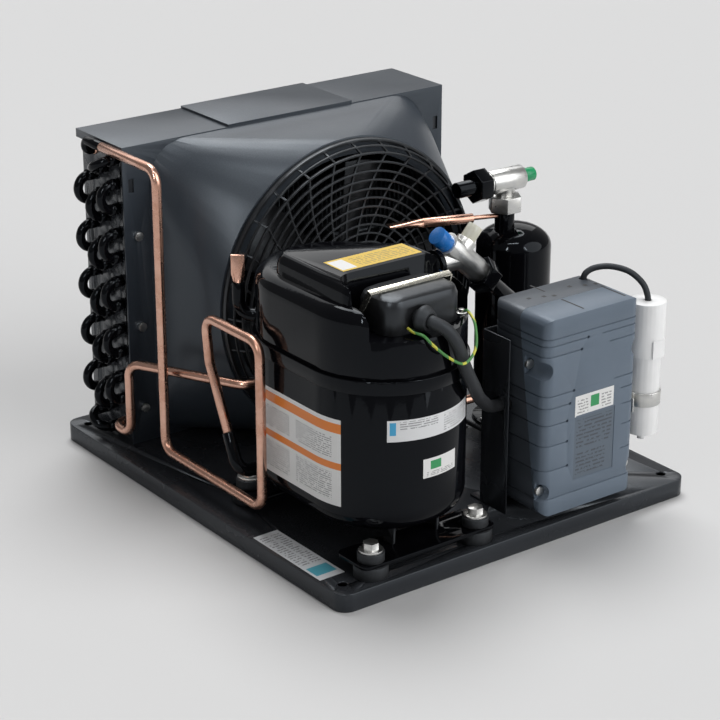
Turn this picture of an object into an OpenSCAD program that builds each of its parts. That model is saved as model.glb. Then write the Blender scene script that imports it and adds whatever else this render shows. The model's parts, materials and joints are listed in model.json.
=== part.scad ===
// Air-cooled condensing unit on a pressed base plate: hermetic compressor on rubber
// mounts, finned condenser with fan shroud, liquid receiver and electrical box.
// Origin: bottom centre of the base plate. +X along the front edge, +Y to the condenser.

/* [Base plate] */
// Width along the front edge
base_w = 420; // [400:1:460]
// Depth from the front edge to the condenser side
base_d = 485; // [470:1:540]
// Height of the turned-down edge
base_h = 18; // [14:1:24]
// Sheet thickness of the base plate
base_t = 2; // [1.5:0.1:3]
// Radius of the upright corners
base_r = 14; // [8:1:20]
// Diameter of the four fixing holes
base_hole_d = 9; // [7:0.5:11]
// Distance of the fixing holes from the side edges
base_hole_in_x = 16; // [14:1:20]
// Distance of the fixing holes from the front and back edges
base_hole_in_y = 21; // [16:1:26]

/* [Compressor] */
// Compressor centre from the middle of the base, along X
comp_x = -103; // [-106:1:-98]
// Compressor centre from the middle of the base, along Y
comp_y = -125.5; // [-127:0.5:-124]
// Radius of the rounded ends of the housing
comp_r = 76; // [70:1:77]
// Distance between the centres of the rounded ends
comp_span = 69; // [64:1:72]
// Wall of the pressed housing
shell_t = 3; // [2:0.5:4]
// Height of the lower housing up to the weld band
lower_h = 137; // [125:1:145]
// Radius between floor and wall of the lower housing
lower_round_r = 22; // [14:1:28]
// Height of the weld band
band_h = 13; // [10:1:16]
// How far the weld band stands out
band_out = 2.5; // [1.5:0.5:3]
// Height of the upper housing above the weld band
upper_h = 80; // [72:1:86]
// Width of the hollow that takes the terminal cover
recess_w = 120; // [112:1:122]
// Depth of that hollow from the front of the housing
recess_d = 79; // [74:1:82]
// Height of the wall below that hollow
recess_lip_h = 36; // [30:1:40]

/* [Compressor mounts] */
// Mounting bolts apart, along X
mount_dx = 120; // [114:1:124]
// Mounting bolts apart, along Y
mount_dy = 193; // [188:1:194]
// Height of the lower grommet ring
grommet_low_h = 12; // [10:1:16]
// Diameter of the lower grommet ring
grommet_low_d = 32; // [28:1:34]
// Height of the upper grommet ring
grommet_up_h = 9; // [6:1:12]
// Diameter of the upper grommet ring
grommet_up_d = 25; // [22:1:26]
// Diameter of the grommet neck in the foot plate
grommet_neck_d = 20; // [18:1:21]
// Outer diameter of the steel sleeve
sleeve_d = 13; // [12:0.5:14]
// Thread diameter of the mounting bolts
bolt_d = 8; // [6:1:10]
// Width across the flats of the mounting bolts
bolt_af = 13; // [10:1:15]
// Thickness of the compressor foot plates
foot_t = 3; // [2:0.5:4]
// Gap between foot plate and the floor of the housing
foot_rise = 17; // [14:1:20]

/* [Terminal cover] */
// Width of the cover
cover_w = 84; // [78:1:86]
// Depth of the cover, from its back to its nose
cover_d = 52; // [44:1:56]
// Height of the cover
cover_h = 34; // [28:1:38]
// Width of the strap bail
bail_w = 6; // [4:1:8]
// Thickness of the strap bail
bail_t = 1.5; // [1:0.25:2]
// Diameter of the rubber gland of the lead
gland_d = 24; // [20:1:28]
// Diameter of the sleeved compressor lead
lead_d = 12; // [10:1:12]

/* [Condenser] */
// Height of the finned block
coil_h = 300; // [280:5:302]
// Height of one tube pitch
tube_pitch = 25; // [24:0.5:25]
// Distance between two rows of tubes
row_pitch = 21.65; // [20:0.05:22]
// Tubes in one row
tube_count = 12; // [8:2:12]
// Outer diameter of the condenser tubes
coil_tube_d = 9.5; // [8:0.5:10]
// Wall of the condenser tubes
coil_tube_t = 0.8; // [0.5:0.1:1]
// Length of the finned block
fin_len = 362; // [350:1:363]
// Distance between two fins as drawn
fin_pitch = 6; // [5:0.5:10]
// Depth of the gaps between the fins
fin_gap_depth = 4; // [2:0.5:5]
// Thickness of the tube sheets
sheet_t = 1.5; // [1:0.25:2]
// Left face of the condenser from the middle of the base
coil_left = -181; // [-184:1:-178]
// Front face of the condenser from the middle of the base
coil_front = 150; // [146:1:154]

/* [Fan shroud] */
// Width of the shroud
shroud_w = 394; // [390:1:396]
// Sheet thickness of the shroud
shroud_t = 1.5; // [1:0.25:2.5]
// Height of the shroud above the base plate
shroud_h = 311; // [305:1:320]
// Depth of the top over the condenser
shroud_top_d = 86; // [80:1:90]
// Width of the left side flange
shroud_flange_w = 29; // [26:1:32]
// Width of the duct at the condenser
duct_w = 340; // [334:1:342]
// Depth of the duct in front of the flanges
duct_d = 98; // [90:1:104]
// Outer radius of the round end of the duct
duct_r = 154; // [148:1:155]
// Radius of the air opening
orifice_r = 136; // [130:1:140]
// Height of the fan axis above the base plate
fan_up = 156; // [155:1:160]
// Rise of the middle of the top
top_rise = 2.5; // [1.5:0.5:4]
// Width of the raised middle of the top
top_rise_w = 152; // [140:1:170]

/* [Fan guard] */
// Outer radius of the guard
guard_r = 152; // [146:1:154]
// Radius at which the flat face starts
guard_face_r = 141; // [136:1:144]
// Depth of the guard in front of the duct
guard_d = 22; // [16:1:24]
// Distance between two rings
guard_ring_pitch = 9; // [8:0.5:12]
// Width of the rings
guard_ring_w = 2; // [1.5:0.25:3]
// Thickness of the face
guard_t = 3; // [2:0.5:4]
// Radius of the closed centre
guard_hub_r = 34; // [28:1:40]
// Number of curved ribs
guard_ribs = 28; // [20:1:30]
// How far a rib runs round between rim and centre, in degrees
guard_swirl = 26; // [0:1:40]

/* [Fan] */
// Fan radius over the blade tips
fan_r = 127; // [118:1:129]
// Radius of the fan hub
hub_r = 30; // [24:1:36]
// Number of blades
blade_count = 5; // [4:1:7]
// Pitch of the blades at the hub, in degrees
blade_pitch_root = 40; // [30:1:45]
// Pitch of the blades at the tip, in degrees
blade_pitch_tip = 22; // [15:1:30]
// Chord of the blades at the hub
blade_chord_root = 50; // [40:1:54]
// Chord of the blades at the tip
blade_chord_tip = 84; // [60:1:90]
// Thickness of the blades
blade_t = 1.6; // [1.2:0.1:2.5]
// Diameter of the fan shaft
fan_shaft_d = 8; // [6:0.5:10]
// Width across the fan motor
motor_w = 82; // [70:1:90]
// Length of the fan motor
motor_len = 46; // [40:1:48]

/* [Receiver] */
// Receiver axis from the middle of the base, along X
rec_x = 168; // [164:1:169]
// Receiver axis from the middle of the base, along Y
rec_y = -22; // [-26:1:-18]
// Outer diameter of the receiver
rec_d = 76; // [70:1:76]
// Height of the receiver without its foot
rec_h = 198; // [180:1:205]
// Wall of the receiver
rec_t = 2.5; // [2:0.5:4]
// Height of the domed ends
rec_dome_h = 22; // [16:1:28]

/* [Electrical box] */
// Width of the box
box_w = 115; // [105:1:118]
// Height of the box
box_h = 196; // [180:1:205]
// Depth of the cover half
box_cover_d = 30; // [24:1:36]
// Depth of the back half
box_back_d = 46; // [40:1:50]
// Wall of the mouldings
box_t = 2.5; // [2:0.5:3.5]
// Radius of the upright edges
box_r = 10; // [6:1:12]
// Left face of the box from the middle of the base
box_left = 22; // [18:1:26]
// Front face of the box from the front edge of the base
box_in = 2.5; // [2:0.5:8]
// Gap below the box
box_lift = 8; // [6:1:12]

/* [Capacitor] */
// Diameter of the capacitor
cap_d = 30; // [27:1:33]
// Height of the capacitor can
cap_h = 120; // [110:1:128]
// Height of the rubber boot over the can
boot_h = 54; // [46:1:60]
// Thickness of the rubber boot
boot_t = 1.5; // [1:0.5:2]
// Diameter of the capacitor lead
cap_lead_d = 6; // [5:0.5:7]

/* [Copper lines] */
// Outer diameter of the copper lines
line_d = 9.5; // [8:0.5:10]
// Wall of the copper lines
line_t = 1; // [0.8:0.1:1.2]
// Bend radius of the copper lines
line_bend = 14; // [12:1:16]

/* [Valves] */
// Width across the flats of the large union nuts
nut_af = 30; // [26:1:32]
// Height of the large union nuts
nut_h = 15; // [12:1:18]
// Diameter of the valve bodies
valve_d = 24; // [20:1:26]
// Diameter of the caps over the valve spindles
valve_cap_d = 18; // [15:1:20]
// Length of the caps over the valve spindles
valve_cap_len = 16; // [12:1:20]

/* [Hidden] */
// Small lengths that place the pipes, the gland and the motor
gland_wall = 2;
earth_in_x = 50;
earth_in_y = 46;
earth_washer_t = 1;
stub_more = 3;
stub_up = 12;
stub_back = 72.5;
line_start = 89.5;
line_start_up = 48;
line_knee = 118.5;
line_knee_down = 40;
line_top_up = 4;
line_back = 124.5;
line_front = 34.5;
line_low_up = 22;
line_rise = 202.5;
outlet_gap = 2;
outlet_back = 137.5;
outlet_down = 198;
outlet_low_up = 32;
ferrule_more = 2;
sheet_more_d = 12;
sheet_more_h = 5;
shroud_out = 3;
motor_gap = 3;
wheel_gap = 4;
$fn = 48;

// Shared clearances and overruns
cut = 1;
seat_gap = 0.1;
pipe_gap = 0.25;
air_gap = 0.3;

// Colours
gloss_black = [0.05, 0.05, 0.06];
satin_grey = [0.30, 0.32, 0.35];
moulded_grey = [0.44, 0.48, 0.53];
copper = [0.80, 0.50, 0.38];
zinc = [0.72, 0.73, 0.74];
rubber = [0.12, 0.12, 0.13];
milk_white = [0.93, 0.93, 0.91];

function unit(v) = v / norm(v);

// A rectangle with round corners, centred on X and Y
module round_rect(w, d, r) {
  square([w - 2 * r, d], center = true);
  square([w, d - 2 * r], center = true);
  for (x = [-1, 1], y = [-1, 1])
    translate([x * (w / 2 - r), y * (d / 2 - r)]) circle(r);
}

module round_prism(w, d, r, h) {
  linear_extrude(h) round_rect(w, d, r);
}

// A ring round Z, standing on Z = 0
module ring(outer_r, inner_r, h) {
  rotate_extrude() translate([inner_r, 0]) square([outer_r - inner_r, h]);
}

// A hexagon prism of a given width across flats
module hex_prism(af, h) {
  cylinder(d = af / cos(30), h = h, $fn = 6);
}

// Turns +Z towards v and moves the origin to p
module aim(p, v) {
  u = unit(v);
  translate(p)
    rotate([0, acos(u[2]), atan2(u[1], u[0])])
      children();
}

function corner_angle(pts, i) =
  acos(unit(pts[i] - pts[i - 1]) * unit(pts[i + 1] - pts[i]));

module tube_run(d, t, run) {
  linear_extrude(run) tube_section(d, t);
}

module tube_section(d, t) {
  difference() {
    circle(d = d, $fn = 24);
    if (t > 0) circle(d = d - 2 * t, $fn = 24);
  }
}

// Points of the arc that rounds corner i of a route
bend_step = 15;

function bend_points(pts, i, bend) =
  let (a = unit(pts[i] - pts[i - 1]), b = unit(pts[i + 1] - pts[i]),
    turn = corner_angle(pts, i),
    side = unit(b - a * (a * b)),
    c = pts[i] - a * bend * tan(turn / 2) + side * bend,
    n = max(1, round(turn / bend_step)))
  [for (k = [0:n]) c + bend * (sin(turn * k / n) * a - cos(turn * k / n) * side)];

function bend_path(pts, bend) = concat([pts[0]],
  [for (i = [1:len(pts) - 2], q = bend_points(pts, i, bend)) q],
  [pts[len(pts) - 1]]);

// A copper tube with its bore, bent along a route
module pipe(pts, d, t, bend, sides = 12) {
  path = bend_path(pts, bend);
  n = len(path);
  rings = concat(sweep_rings(path, d / 2, sides), sweep_rings(path, d / 2 - t, sides));
  m = n * sides;
  skin = [for (i = [0:n - 2], k = [0:sides - 1])
    let (a = i * sides + k, b = i * sides + (k + 1) % sides)
    [a, a + sides, b + sides, b]];
  bore = [for (f = skin) [f[0] + m, f[3] + m, f[2] + m, f[1] + m]];
  ends = [for (k = [0:sides - 1], e = [0, 1])
    let (j = (k + 1) % sides, o = e * (n - 1) * sides)
    e == 0 ? [k, j, j + m, k + m] : [o + k, o + k + m, o + j + m, o + j]];
  polyhedron(points = rings, faces = concat(skin, bore, ends));
}

function sweep_rings(path, r, sides) =
  let (n = len(path),
    dirs = [for (i = [0:n - 1]) unit(path[min(i + 1, n - 1)] - path[max(i - 1, 0)])],
    ups = cord_frames(dirs, [cord_start(dirs[0])], 1))
  [for (i = [0:n - 1], k = [0:sides - 1])
    let (a = 360 * k / sides, s = cross(dirs[i], ups[i]))
    path[i] + r * (cos(a) * ups[i] + sin(a) * s)];

// A smooth curve through chosen points, sampled for a cord
function spline_point(p, i, s) =
  let (a = p[max(i - 1, 0)], b = p[i], c = p[i + 1], d = p[min(i + 2, len(p) - 1)])
  0.5 * (2 * b + (c - a) * s + (2 * a - 5 * b + 4 * c - d) * s * s
    + (3 * b - a - 3 * c + d) * s * s * s);

function spline(p, steps) = concat(
  [for (i = [0:len(p) - 2], k = [0:steps - 1]) spline_point(p, i, k / steps)],
  [p[len(p) - 1]]);

// A round cord swept along a list of points as one closed body
module cord(path, d, sides) {
  n = len(path);
  walls = [for (i = [0:n - 2], k = [0:sides - 1])
    let (a = i * sides + k, b = i * sides + (k + 1) % sides)
    [a, a + sides, b + sides, b]];
  ends = [[for (k = [0:sides - 1]) k],
    [for (k = [0:sides - 1]) n * sides - 1 - k]];
  polyhedron(points = sweep_rings(path, d / 2, sides), faces = concat(walls, ends));
}

function cord_start(v) = unit(abs(v[2]) < 0.9 ? cross(v, [0, 0, 1]) : cross(v, [1, 0, 0]));

function cord_frames(dirs, ups, i) = i >= len(dirs) ? ups
  : cord_frames(dirs, concat(ups, [unit(ups[i - 1] - dirs[i] * (ups[i - 1] * dirs[i]))]), i + 1);

// Base plate
base_top = base_h;
front_y = -base_d / 2;
right_x = base_w / 2;

module base_plate() {
  color(gloss_black)
    difference() {
      round_prism(base_w, base_d, base_r, base_h);
      translate([0, 0, -cut])
        round_prism(base_w - 2 * base_t, base_d - 2 * base_t, base_r - base_t,
          base_h - base_t + cut);
      for (x = [-1, 1], y = [-1, 1])
        translate([x * (base_w / 2 - base_hole_in_x), y * (base_d / 2 - base_hole_in_y), 0])
          cylinder(d = base_hole_d, h = base_h + cut);
      at_mounts() cylinder(d = bolt_d + 2 * air_gap, h = base_h + cut);
      for (p = base_screw_places) translate(p) cylinder(d = screw_d, h = base_h + cut);
    }
}

// Compressor mounts
foot_z = base_top + grommet_low_h;
grommet_top_z = foot_z + foot_t + grommet_up_h;
washer_t = 2;
washer_share = 1.7;
head_share = 0.5;

module at_mounts() {
  for (x = [-1, 1], y = [-1, 1])
    translate([comp_x + x * mount_dx / 2, comp_y + y * mount_dy / 2, 0]) children();
}

module mount_grommets() {
  bore_r = sleeve_d / 2 + seat_gap;
  color(rubber)
    at_mounts() {
      translate([0, 0, base_top]) ring(grommet_low_d / 2, bore_r, grommet_low_h);
      translate([0, 0, base_top]) ring(grommet_neck_d / 2, bore_r, grommet_top_z - base_top);
      translate([0, 0, foot_z + foot_t]) ring(grommet_up_d / 2, bore_r, grommet_up_h);
    }
}

module mount_sleeves() {
  color(zinc)
    at_mounts()
      translate([0, 0, base_top])
        ring(sleeve_d / 2, bolt_d / 2 + seat_gap, grommet_top_z - base_top);
}

module mount_bolts() {
  color(zinc)
    at_mounts() {
      translate([0, 0, grommet_top_z]) cylinder(d = bolt_af * washer_share, h = washer_t);
      translate([0, 0, grommet_top_z + washer_t]) hex_prism(bolt_af, bolt_af * head_share);
      translate([0, 0, base_top - base_t - bolt_d])
        cylinder(d = bolt_d, h = grommet_top_z + washer_t - base_top + base_t + bolt_d);
    }
}

module mount_nuts() {
  nut_t = bolt_d * nut_share;
  color(zinc)
    at_mounts()
      translate([0, 0, base_top - base_t - nut_t])
        difference() {
          hex_prism(bolt_af, nut_t);
          translate([0, 0, -cut]) cylinder(d = bolt_d + 2 * seat_gap, h = nut_t + 2 * cut);
        }
}

// Compressor housing
shell_z = foot_z + foot_t + foot_rise;
band_z = shell_z + lower_h;
upper_z = band_z + band_h;
nut_share = 0.8;
riser_x_share = 0.33;
riser_t = 4;
riser_d = 16;
foot_corner_r = 8;

module compressor_feet() {
  plate_w = mount_dx + grommet_low_d;
  fore = grommet_low_d * nut_share / 2;
  plate_d = fore + grommet_low_d * 1;
  color(gloss_black)
    for (s = [-1, 1])
      translate([comp_x, comp_y + s * mount_dy / 2, 0]) {
        difference() {
          translate([0, s * (fore - plate_d / 2), foot_z])
            round_prism(plate_w, plate_d, foot_corner_r, foot_t);
          for (x = [-1, 1])
            translate([x * mount_dx / 2, 0, foot_z - cut])
              cylinder(d = grommet_neck_d + 2 * seat_gap, h = foot_t + 2 * cut);
        }
        for (x = [-1, 1])
          translate([x * comp_r * riser_x_share, s * (fore - plate_d + riser_d / 2 + riser_t),
              foot_z + foot_t + foot_rise / 2])
            cube([riser_t, riser_d, foot_rise], center = true);
      }
}

// Turns a profile of radius and height into a housing with two round ends
module stadium() {
  for (s = [0, 1])
    translate([comp_x, comp_y + (s - 0.5) * comp_span, 0])
      rotate([0, 0, (1 - s) * 180])
        rotate_extrude(angle = 180) children();
  translate([comp_x, comp_y, 0])
    rotate([90, 0, 0])
      linear_extrude(comp_span, center = true) {
        children();
        mirror([1, 0]) children();
      }
}

module lower_profile(r, z, h, corner_r) {
  translate([0, z + corner_r]) square([r, h - corner_r]);
  translate([0, z]) square([r - corner_r, corner_r + cut]);
  translate([r - corner_r, z + corner_r])
    intersection() {
      circle(corner_r);
      translate([0, -corner_r]) square([corner_r, corner_r]);
    }
}

module compressor_lower_shell() {
  color(gloss_black)
    difference() {
      stadium() lower_profile(comp_r, shell_z, lower_h, lower_round_r);
      stadium()
        lower_profile(comp_r - shell_t, shell_z + shell_t, lower_h, lower_round_r - shell_t);
      discharge_bore();
    }
}

module weld_band() {
  color(gloss_black)
    stadium()
      translate([comp_r - shell_t, band_z]) square([shell_t + band_out, band_h]);
}

// Upper housing: a rounded shoulder that carries a raised land with soft edges
shoulder_r = 14;
land_h = 18;
land_corner_r = 15;
land_corner_shares = [[-0.58, 0.55], [-0.58, -0.68], [0.6, -0.68], [0.6, -0.02], [0.1, 0.3]];
land_steps = [[0, 0], [0.5, 0.6], [0.8, 2.6], [1, 6.5]];
land_edge = 1;

module shoulder_profile(inset) {
  r = comp_r - inset;
  h = upper_h - land_h - inset;
  translate([0, upper_z]) square([r, h - shoulder_r]);
  translate([0, upper_z]) square([r - shoulder_r, h]);
  translate([r - shoulder_r, upper_z + h - shoulder_r])
    intersection() {
      circle(shoulder_r);
      square([shoulder_r, shoulder_r]);
    }
}

module land(inset) {
  translate([comp_x, comp_y, upper_z + upper_h - land_h - inset - shoulder_r])
    hull()
      for (s = land_steps)
        linear_extrude(shoulder_r + land_h * s[0])
          land_plan(land_corner_r - land_edge * s[1] - inset);
}

module land_plan(r) {
  hull()
    for (c = land_corner_shares) translate(comp_r * c) circle(r, $fn = 32);
}

recess_z = upper_z + recess_lip_h;
recess_side = 5;
recess_x = comp_x + recess_side;
recess_front_y = comp_y - comp_span / 2 - comp_r;
recess_back_y = recess_front_y + recess_d;
recess_corner_r = 20;

module recess(grow) {
  w = recess_w + 2 * grow;
  d = recess_d + 2 * recess_corner_r;
  translate([recess_x, recess_back_y + grow - d / 2, recess_z - grow])
    round_prism(w, d, recess_corner_r + grow, upper_h);
}

module compressor_upper_shell() {
  color(gloss_black) {
    difference() {
      union() {
        stadium() shoulder_profile(0);
        land(0);
      }
      recess(0);
      difference() {
        union() {
          translate([0, 0, -cut]) stadium() shoulder_profile(shell_t);
          land(shell_t);
        }
        recess(shell_t);
      }
      spud_bore(2 * seat_gap);
      process_bore();
    }
    bail_lugs();
  }
}

// Terminal cover with its bail
cover_gap = 8;
cover_wall = 2.5;
cover_corner_r = 16;
cover_back_y = recess_back_y - cover_gap;
cover_mid_y = cover_back_y - cover_d / 2;
cover_taper = 7;
cover_taper_h = 9;

module cover_form(inset) {
  w = cover_w - 2 * inset;
  d = cover_d - 2 * inset;
  r = cover_corner_r - inset;
  h = cover_h - inset;
  hull() {
    round_prism(w, d, r, h - cover_taper_h);
    round_prism(w - cover_taper / 2, d - cover_taper / 2, r, h - cover_taper_h / 3);
    round_prism(w - 2 * cover_taper, d - 2 * cover_taper, r, h);
  }
}

module terminal_cover() {
  color(moulded_grey)
    difference() {
      translate([recess_x, cover_mid_y, recess_z]) cover_form(0);
      translate([recess_x, cover_mid_y, recess_z - cut]) cover_form(cover_wall);
      aim(gland_from, gland_dir)
        translate([0, 0, -gland_len])
          cylinder(d = gland_neck_d + 2 * seat_gap, h = 2 * gland_len);
    }
}

terminal_base_d = 34;
terminal_base_h = 8;
terminal_pin_d = 3;
terminal_pin_h = 10;
terminal_pin_r = 8;

module terminal_block() {
  color(milk_white)
    translate([recess_x, cover_mid_y, recess_z]) {
      cylinder(d = terminal_base_d, h = terminal_base_h);
      for (a = [90, 210, 330])
        rotate([0, 0, a])
          translate([terminal_pin_r, 0, 0])
            cylinder(d = terminal_pin_d, h = terminal_base_h + terminal_pin_h, $fn = 24);
    }
}

bail_in = 23;
bail_rise = 9;
bail_tilt = 25;
bail_pin_d = 3;
bail_pin_fit = 0.05;
bail_half = cover_w / 2 + bail_t;
bail_spread = 4;
bail_y = recess_back_y - bail_in;
bail_z = recess_z + bail_rise;
bail_reach = (cover_h - bail_rise + seat_gap + bail_w / 2 * sin(bail_tilt)) / cos(bail_tilt);
bail_eye_x = bail_half + bail_spread;
lug_t = 2;
lug_w = 10;

module bail_strap() {
  color(milk_white)
    translate([recess_x, bail_y, bail_z])
      rotate([bail_tilt, 0, 0])
        difference() {
          union() {
            rotate([90, 0, 0])
              linear_extrude(bail_w, center = true)
                difference() {
                  bail_outline(bail_t, bail_t);
                  bail_outline(0, 0);
                }
            for (s = [0, 1])
              mirror([s, 0, 0])
                translate([bail_eye_x, 0, 0])
                  rotate([0, 90, 0]) cylinder(d = bail_w, h = bail_t);
          }
          rotate([0, 90, 0])
            cylinder(d = bail_pin_d + 2 * bail_pin_fit, h = 4 * bail_eye_x, center = true);
        }
}

module bail_outline(side, top) {
  polygon([[-bail_eye_x - side, 0], [-bail_half - side, bail_reach + top],
    [bail_half + side, bail_reach + top], [bail_eye_x + side, 0]]);
}

module bail_lugs() {
  lug_x = bail_eye_x + bail_t + air_gap;
  for (s = [0, 1])
    translate([recess_x, bail_y, recess_z])
      mirror([s, 0, 0]) {
        translate([lug_x, -lug_w / 2, 0]) cube([lug_t, lug_w, bail_rise + lug_w / 2]);
        translate([bail_eye_x, 0, bail_rise])
          rotate([0, 90, 0]) cylinder(d = bail_pin_d, h = bail_t + air_gap + lug_t);
      }
}

// Gland and sleeved lead of the compressor
gland_x = -9;
gland_up = 14;
gland_dir = [0.2, -0.97, -0.1];
gland_len = 13;
gland_flange_t = 3;
gland_neck_d = lead_d + gland_wall * 2;
gland_from = [recess_x + gland_x, cover_back_y - cover_d, recess_z + gland_up];

module cable_gland() {
  bore_r = lead_d / 2 + pipe_gap;
  color(rubber)
    aim(gland_from, gland_dir)
      rotate_extrude()
        polygon([[bore_r, -cover_wall], [gland_neck_d / 2, -cover_wall],
          [gland_neck_d / 2, gland_flange_t], [gland_d / 2, gland_flange_t],
          [gland_d / 2, 2 * gland_flange_t], [bore_r + cover_wall, gland_len],
          [bore_r, gland_len]]);
}

lead_route = [[-107.4, -215.05, 250.2], [-106, -221.87, 249.5], [-104.59, -228.69, 248.79],
  [-103.58, -233.57, 248.29], [-95.5, -241.5, 242],
  [-86, -244.5, 227], [-75, -242, 203], [-60, -236, 180], [-41, -221, 159],
  [-20, -204, 142], [-3, -191, 130], [10, -187, 126], [27, -187, 126]];
lead_hole = lead_route[len(lead_route) - 1];

module compressor_lead() {
  color(rubber) cord(spline(lead_route, 2), lead_d, 10);
}

earth_d = 2.6;
earth_route = [[-121, -218.7, 243], [-120, -226, 241], [-116, -235, 239.5], [-110, -241.5, 231],
  [-98, -249, 219], [-84, -252.5, 212], [-70, -250, 222], [-63, -240, 240], [-56, -222, 245],
  [-48.5, -207.1, 238.6]];

module earth_wire() {
  color([0.65, 0.75, 0.25]) cord(spline(earth_route, 2), earth_d, 8);
}

earth_screw_d = 5;
earth_screw_h = 4;
earth_from = [recess_x + earth_in_x, recess_back_y - earth_in_y, recess_z];

module earth_screw() {
  color(zinc)
    translate(earth_from) {
      cylinder(d = 2 * earth_screw_d, h = earth_washer_t);
      cylinder(d = earth_screw_d, h = earth_screw_h);
    }
}

// Tubes on the compressor
process_a = 134.6;
process_out = 16.6;
process_up = 8;
process_len = 32;
process_h = 26;
pinch_w = 12.6;
pinch_t = 3;
pinch_share = 0.3;
process_c = [comp_x, comp_y + comp_span / 2, upper_z + process_up];
process_dir = [cos(process_a), sin(process_a), 0];
process_top = process_c + process_dir * (comp_r + process_out) + [0, 0, process_len];

module process_bore() {
  aim(process_c, process_dir) cylinder(d = stub_d + 2 * seat_gap, h = comp_r + process_out);
}

module process_stub() {
  corner = process_c + process_dir * (comp_r + process_out);
  color(gloss_black)
    pipe([process_c + process_dir * (comp_r - 2 * shell_t), corner, process_top],
      stub_d, line_t, line_bend);
}

module process_tube() {
  color(copper)
    translate(process_top + [0, 0, seat_gap])
      hull() {
        cylinder(d = line_d, h = seat_gap, $fn = 24);
        translate([0, 0, process_h * pinch_share])
          rotate([0, 0, -40])
            translate([-pinch_w / 2, -pinch_t / 2, 0])
              cube([pinch_w, pinch_t, process_h * (1 - pinch_share)]);
      }
}

line_out = 11;
line_x = comp_x - comp_r - line_out;
stub_d = line_d + stub_more;
stub_z = shell_z + stub_up;
stub_y = comp_y + stub_back;
line_start_y = comp_y + line_start;
line_start_z = shell_z + line_start_up;
line_knee_y = comp_y + line_knee;
line_knee_z = upper_z - line_knee_down;
line_top_z = upper_z + line_top_up;
line_back_y = comp_y + line_back;
line_front_y = comp_y + line_front;
line_low_z = base_top + line_low_up;
line_rise_y = comp_y + line_rise;
inlet_len = 30;
inlet_bend = 5;
inlet_over = 10.8;

module discharge_bore() {
  translate([line_x, stub_y, stub_z])
    rotate([0, 90, 0]) cylinder(d = stub_d + 2 * seat_gap, h = comp_r);
}

module discharge_stub() {
  color(gloss_black)
    pipe([[line_x + line_out + 6 * shell_t, stub_y, stub_z], [line_x, stub_y, stub_z],
      [line_x, line_start_y, line_start_z]], stub_d, (stub_d - line_d) / 2 - pipe_gap, line_bend);
}

module discharge_line() {
  start = [line_x, line_start_y, line_start_z];
  into = unit([0, line_start_y - stub_y, line_start_z - stub_z]) * stub_d;
  e = coil_end(row_count - 1, tube_count - 1);
  color(copper)
    pipe([start - into, [line_x, line_knee_y, line_knee_z], [line_x, line_back_y, line_top_z],
      [line_x, line_front_y, line_top_z], [line_x, line_front_y, line_low_z],
      [line_x, line_rise_y, line_low_z], [line_x, line_rise_y, e[2] + inlet_over],
      [line_x, e[1] - inlet_len - seat_gap, e[2] + inlet_over]], line_d, line_t, line_bend);
}

// Black elbow from the discharge line into the top tube of the back row
module coil_inlet() {
  e = coil_end(row_count - 1, tube_count - 1);
  color(gloss_black)
    pipe([[line_x, e[1] - inlet_len, e[2] + inlet_over], [line_x, e[1], e[2] + inlet_over],
      [line_x, e[1], e[2]], [coil_left - port_end - seat_gap, e[1], e[2]]],
      line_d, line_t, inlet_bend);
}

outlet_x = coil_left - line_bend - outlet_gap;
outlet_fore = 20;
outlet_up = 98;
outlet_back_y = comp_y + outlet_back;
outlet_down_x = comp_x + outlet_down;
outlet_low_z = base_top + outlet_low_up;

module outlet_line() {
  start = coil_end(0, 0) - [port_end + seat_gap, 0, 0];
  fore_y = coil_front - outlet_fore;
  color(copper)
    pipe([start, [outlet_x, start[1], start[2]], [outlet_x, fore_y, start[2]],
      [outlet_x, fore_y, base_top + outlet_up],
      [comp_x - comp_span / 2, outlet_back_y, base_top + outlet_up],
      [outlet_down_x, outlet_back_y, base_top + outlet_up],
      [outlet_down_x, outlet_back_y, outlet_low_z], [outlet_down_x, rec_y, outlet_low_z],
      [rec_x - rec_d / 2 + 2 * rec_t, rec_y, outlet_low_z]], line_d, line_t, line_bend);
}

// Service valves: along +Z the spindle end is below, the union end above
valve_cap_side = 19;
valve_nut_side = 30;
thread_d = 22;
thread_h = 10;
nipple_fit = 0.05;
stub_out_d = 16;
collar_h = 3;
spigot_d = 20;

module valve_form(cap_d, nut_side) {
  translate([0, 0, -valve_cap_side]) cylinder(d = valve_d, h = valve_cap_side + nut_side);
  translate([0, 0, -valve_cap_side - valve_cap_len + collar_h])
    cylinder(d = cap_d - 2 * collar_h, h = valve_cap_len);
  cylinder(d = thread_d, h = nut_side + nut_gap + thread_h);
}

nut_gap = 5;

module spindle_cap(d) {
  translate([0, 0, -valve_cap_side - valve_cap_len])
    difference() {
      cylinder(d = d, h = valve_cap_len - seat_gap);
      translate([0, 0, collar_h - seat_gap])
        cylinder(d = d - 2 * collar_h + 2 * nipple_fit, h = valve_cap_len + cut);
    }
}

module union_nut(nut_side) {
  translate([0, 0, nut_side + nut_gap])
    difference() {
      hex_prism(nut_af, nut_h);
      translate([0, 0, -cut])
        cylinder(d = thread_d + 2 * seat_gap, h = thread_h + collar_h + 2 * seat_gap + cut);
      cylinder(d = stub_out_d + 2 * seat_gap, h = nut_h + cut);
    }
}

module union_stub(nut_side, length) {
  translate([0, 0, nut_side + nut_gap + thread_h + seat_gap])
    difference() {
      union() {
        cylinder(d = thread_d - 2 * seat_gap, h = collar_h);
        cylinder(d = stub_out_d, h = length);
      }
      translate([0, 0, -cut]) cylinder(d = stub_out_d - 2 * line_t, h = length + 2 * cut);
    }
}

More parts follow.
